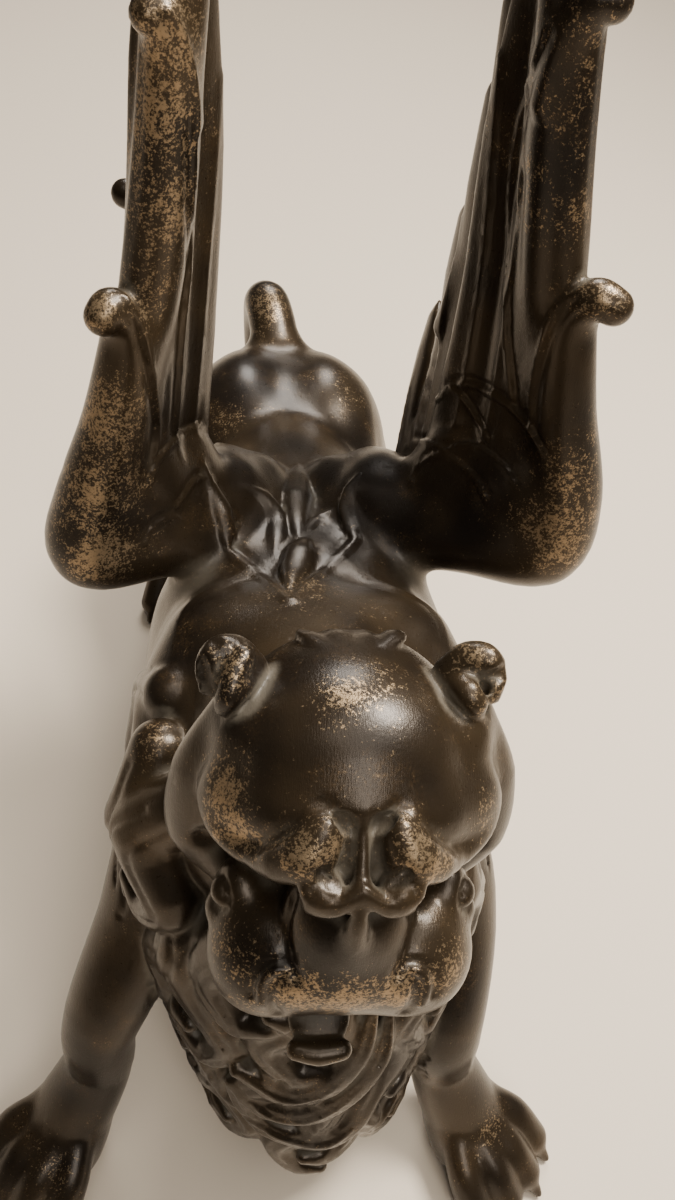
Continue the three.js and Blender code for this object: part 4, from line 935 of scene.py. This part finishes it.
def bronze_finish():
    f = Finish("patinated_bronze")
    recess, crest, rubbed = f.held("recess"), f.held("crest"), f.held("rubbed")
    # noise from large to fine
    clouds = f.noise(38, 3)
    patches = f.noise(120, 4, 0.6)
    blots = f.noise(700, 3, 0.65)
    grain = f.noise(1500, 3, 0.7)
    speckle = f.noise(2300, 2, 0.75)
    patina = f.painted(DARK_PATINA, BROWN_PATINA, clouds.between(0.3, 0.72))
    warm = (patches.between(0.48, 0.75) * speckle.between(0.35, 0.7)) * 0.7
    patina = f.painted(patina, WARM_PATINA, warm)
    touched = rubbed * 0.62 + crest * 0.12
    broken = touched + (blots - 0.5) * 1.2 + (speckle - 0.5) * 1.8 + (patches - 0.5) * 0.8
    worn = broken.between(0.38, 0.78)
    shown = f.painted(patina, WORN_BRONZE, worn)
    dust = (recess * 1.3 + (grain - 0.5) * 0.3).between(0.25, 0.9)
    shown = f.painted(shown, DUST, dust * 0.55)
    metal = 0.4 + worn * 0.35 - dust * 0.3
    rough = 0.3 + dust * 0.32 + (grain - 0.5) * 0.16 + worn * 0.06
    scratches = f.noise(900, 2, 0.6, stretch=(6, 1, 0.8), distortion=0.6)
    height = grain * 0.3 + speckle * 0.3 + scratches * 0.5 + worn * 0.2
    bump = f.node("ShaderNodeBump", {}, {"Strength": 0.16, "Distance": 0.0005, "Height": height})
    return f.surface({"Base Color": shown, "Metallic": metal, "Roughness": rough, "Normal": bump,
                      "Specular IOR Level": 0.3, "Coat Weight": 0.1, "Coat Roughness": 0.22})


def paper_finish():
    f = Finish("pale_paper")
    tone = f.painted(*PAPER_TONES, f.noise(3, 2))
    return f.surface({"Base Color": tone, "Roughness": 0.9})


def show(thing):
    bpy.context.scene.collection.objects.link(thing)


def raw_mesh(points, faces):
    """A mesh of four-cornered faces."""
    mesh = bpy.data.meshes.new("griffin_raw")
    mesh.vertices.add(len(points))
    mesh.vertices.foreach_set("co", points.astype(np.float32).ravel())
    mesh.loops.add(faces.size)
    mesh.loops.foreach_set("vertex_index", faces.astype(np.int32).ravel())
    mesh.polygons.add(len(faces))
    mesh.polygons.foreach_set("loop_start", np.arange(0, faces.size, 4, dtype=np.int32))
    mesh.update(calc_edges=True)
    return mesh


def thinned(mesh):
    """The mesh in triangles, with larger ones where it is smooth."""
    raw = bpy.data.objects.new("griffin_raw", mesh)
    show(raw)
    thin = raw.modifiers.new("thin", "DECIMATE")
    thin.ratio = min(1.0, KEPT_TRIANGLES / (2 * len(mesh.polygons)))
    thin.use_collapse_triangulate = True
    made = bpy.data.meshes.new_from_object(raw.evaluated_get(bpy.context.evaluated_depsgraph_get()))
    bpy.data.objects.remove(raw)
    return made


def without_crumbs(mesh):
    """Deletes all but the largest piece of a mesh of triangles that join edge to edge."""
    edge = np.zeros(len(mesh.loops), np.int32)
    mesh.loops.foreach_get("edge_index", edge)
    order = np.argsort(edge, kind="stable")
    face, uses = order // 3, np.bincount(edge)
    pairs = (np.cumsum(uses) - uses)[uses == 2]
    a, b = face[pairs], face[pairs + 1]
    label, before = np.arange(len(mesh.polygons)), None
    while before is None or (label != before).any():
        before, lowest = label, np.minimum(label[a], label[b])
        label = label.copy()
        np.minimum.at(label, a, lowest)
        np.minimum.at(label, b, lowest)
        label = label[label]
    loose = np.flatnonzero(label != np.bincount(label).argmax())
    rest = bmesh.new()
    rest.from_mesh(mesh)
    rest.faces.ensure_lookup_table()
    bmesh.ops.delete(rest, geom=[rest.faces[i] for i in loose], context="FACES")
    rest.to_mesh(mesh)
    rest.free()


def of_vertices(mesh, measure):
    """A measure of a mesh's vertices, one row for each."""
    rows = np.zeros(len(mesh.vertices) * 3, np.float32)
    mesh.vertices.foreach_get(measure, rows)
    return rows.reshape(-1, 3)


def paint_wear(mesh, clay):
    """Writes at each vertex how deep it lies, how much it stands out and how much it is rubbed."""
    spots, normals = of_vertices(mesh, "co"), of_vertices(mesh, "normal")
    wear = {"rubbed": np.zeros(len(spots))}
    for name, reaches in FELT.items():
        near, far = (1 - np.clip(clay.sampled(spots + normals * r) / r, -1, 1) for r in reaches)
        wear[name] = (near + far) / 2
    for *spot, reach, share in RUBBED:
        near = np.exp(-(((spots - spot) ** 2).sum(1) / reach**2))
        wear["rubbed"] = np.maximum(wear["rubbed"], share * near)
    for name, value in wear.items():
        layer = mesh.attributes.new(name, "FLOAT", "POINT")
        layer.data.foreach_set("value", value.astype(np.float32))


def casting(clay):
    """The griffin in metres, standing on the ground in the part's own frame."""
    mesh = thinned(raw_mesh(*clay.surface()))
    without_crumbs(mesh)
    paint_wear(mesh, clay)
    spots = (of_vertices(mesh, "co") - [*OUTLINE_MIDDLE, SOLE_CUT]) / METRE
    spots[:, 2] = np.maximum(spots[:, 2], 0)
    mesh.vertices.foreach_set("co", spots.astype(np.float32).ravel())
    mesh.polygons.foreach_set("use_smooth", np.ones(len(mesh.polygons), bool))
    mesh.update()
    mesh.name = "griffin_casting"
    return bpy.data.objects.new("griffin_casting", mesh)


# Lamps: place, target and width in metres, watts and tint
LAMPS = {
    "window": ((0.24, 0.05, 0.56), (0, -0.05, 0.1), 0.16, 6.5, (1, 0.95, 0.87)),
    "skylight": ((0.08, 0.7, 0.7), (0, 0, 0.1), 0.35, 7, (1, 0.96, 0.9)),
    "ceiling": ((0.15, -0.2, 1.1), (0, -0.05, 0.1), 0.8, 6, (1, 0.95, 0.87)),
    "front_fill": ((0.1, -0.5, 0.55), (0, -0.08, 0.13), 0.25, 1.6, (1, 0.95, 0.88)),
}
ROOM_TINT = (0.9, 0.87, 0.83, 1)
ROOM_LIGHT = 0.06
PAPER_HALF = 3


def lamp(name, place, target, size, watts, tint):
    data = bpy.data.lights.new(name, "AREA")
    data.size, data.energy, data.color = size, watts, tint
    made = bpy.data.objects.new(name, data)
    made.location = place
    made.rotation_euler = (Vector(target) - Vector(place)).to_track_quat("-Z", "Y").to_euler()
    show(made)


def camera():
    turn, down, roll = (math.radians(v) for v in (CAMERA_TURN, CAMERA_DOWN, CAMERA_ROLL))
    ahead = Vector((math.sin(turn) * math.cos(down), math.cos(turn) * math.cos(down), -math.sin(down)))
    across = Vector((math.cos(turn), -math.sin(turn), 0))
    up = across.cross(ahead)
    right = across * math.cos(roll) + up * math.sin(roll)
    top = up * math.cos(roll) - across * math.sin(roll)
    axes = Matrix((right, top, -ahead)).transposed()
    data = bpy.data.cameras.new("camera")
    data.lens, data.clip_start = CAMERA_LENS, NEAREST_SEEN
    made = bpy.data.objects.new("camera", data)
    made.matrix_world = Matrix.Translation(CAMERA_PLACE) @ axes.to_4x4()
    show(made)
    bpy.context.scene.camera = made


def room():
    world = bpy.data.worlds.new("room")
    world.use_nodes = True
    background = world.node_tree.nodes["Background"]
    background.inputs["Color"].default_value = ROOM_TINT
    background.inputs["Strength"].default_value = ROOM_LIGHT
    bpy.context.scene.world = world


def paper():
    corners = [(x * PAPER_HALF, y * PAPER_HALF, 0) for x, y in ((-1, -1), (1, -1), (1, 1), (-1, 1))]
    mesh = bpy.data.meshes.new("paper")
    mesh.from_pydata(corners, [], [(0, 1, 2, 3)])
    sheet = bpy.data.objects.new("paper", mesh)
    sheet.data.materials.append(paper_finish())
    show(sheet)
    return sheet


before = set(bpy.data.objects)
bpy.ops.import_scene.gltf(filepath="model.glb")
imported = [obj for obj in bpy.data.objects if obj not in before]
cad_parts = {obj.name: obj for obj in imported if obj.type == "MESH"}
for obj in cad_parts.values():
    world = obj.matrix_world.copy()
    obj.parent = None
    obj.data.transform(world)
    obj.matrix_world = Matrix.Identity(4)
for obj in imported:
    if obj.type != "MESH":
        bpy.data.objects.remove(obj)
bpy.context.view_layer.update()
griffin = casting(sculpt(FINE_CELL))
show(griffin)
griffin.data.materials.append(bronze_finish())
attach(griffin, "root")
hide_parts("griffin")

floor = paper()

camera()
for name, settings in LAMPS.items():
    lamp(name, *settings)
room()
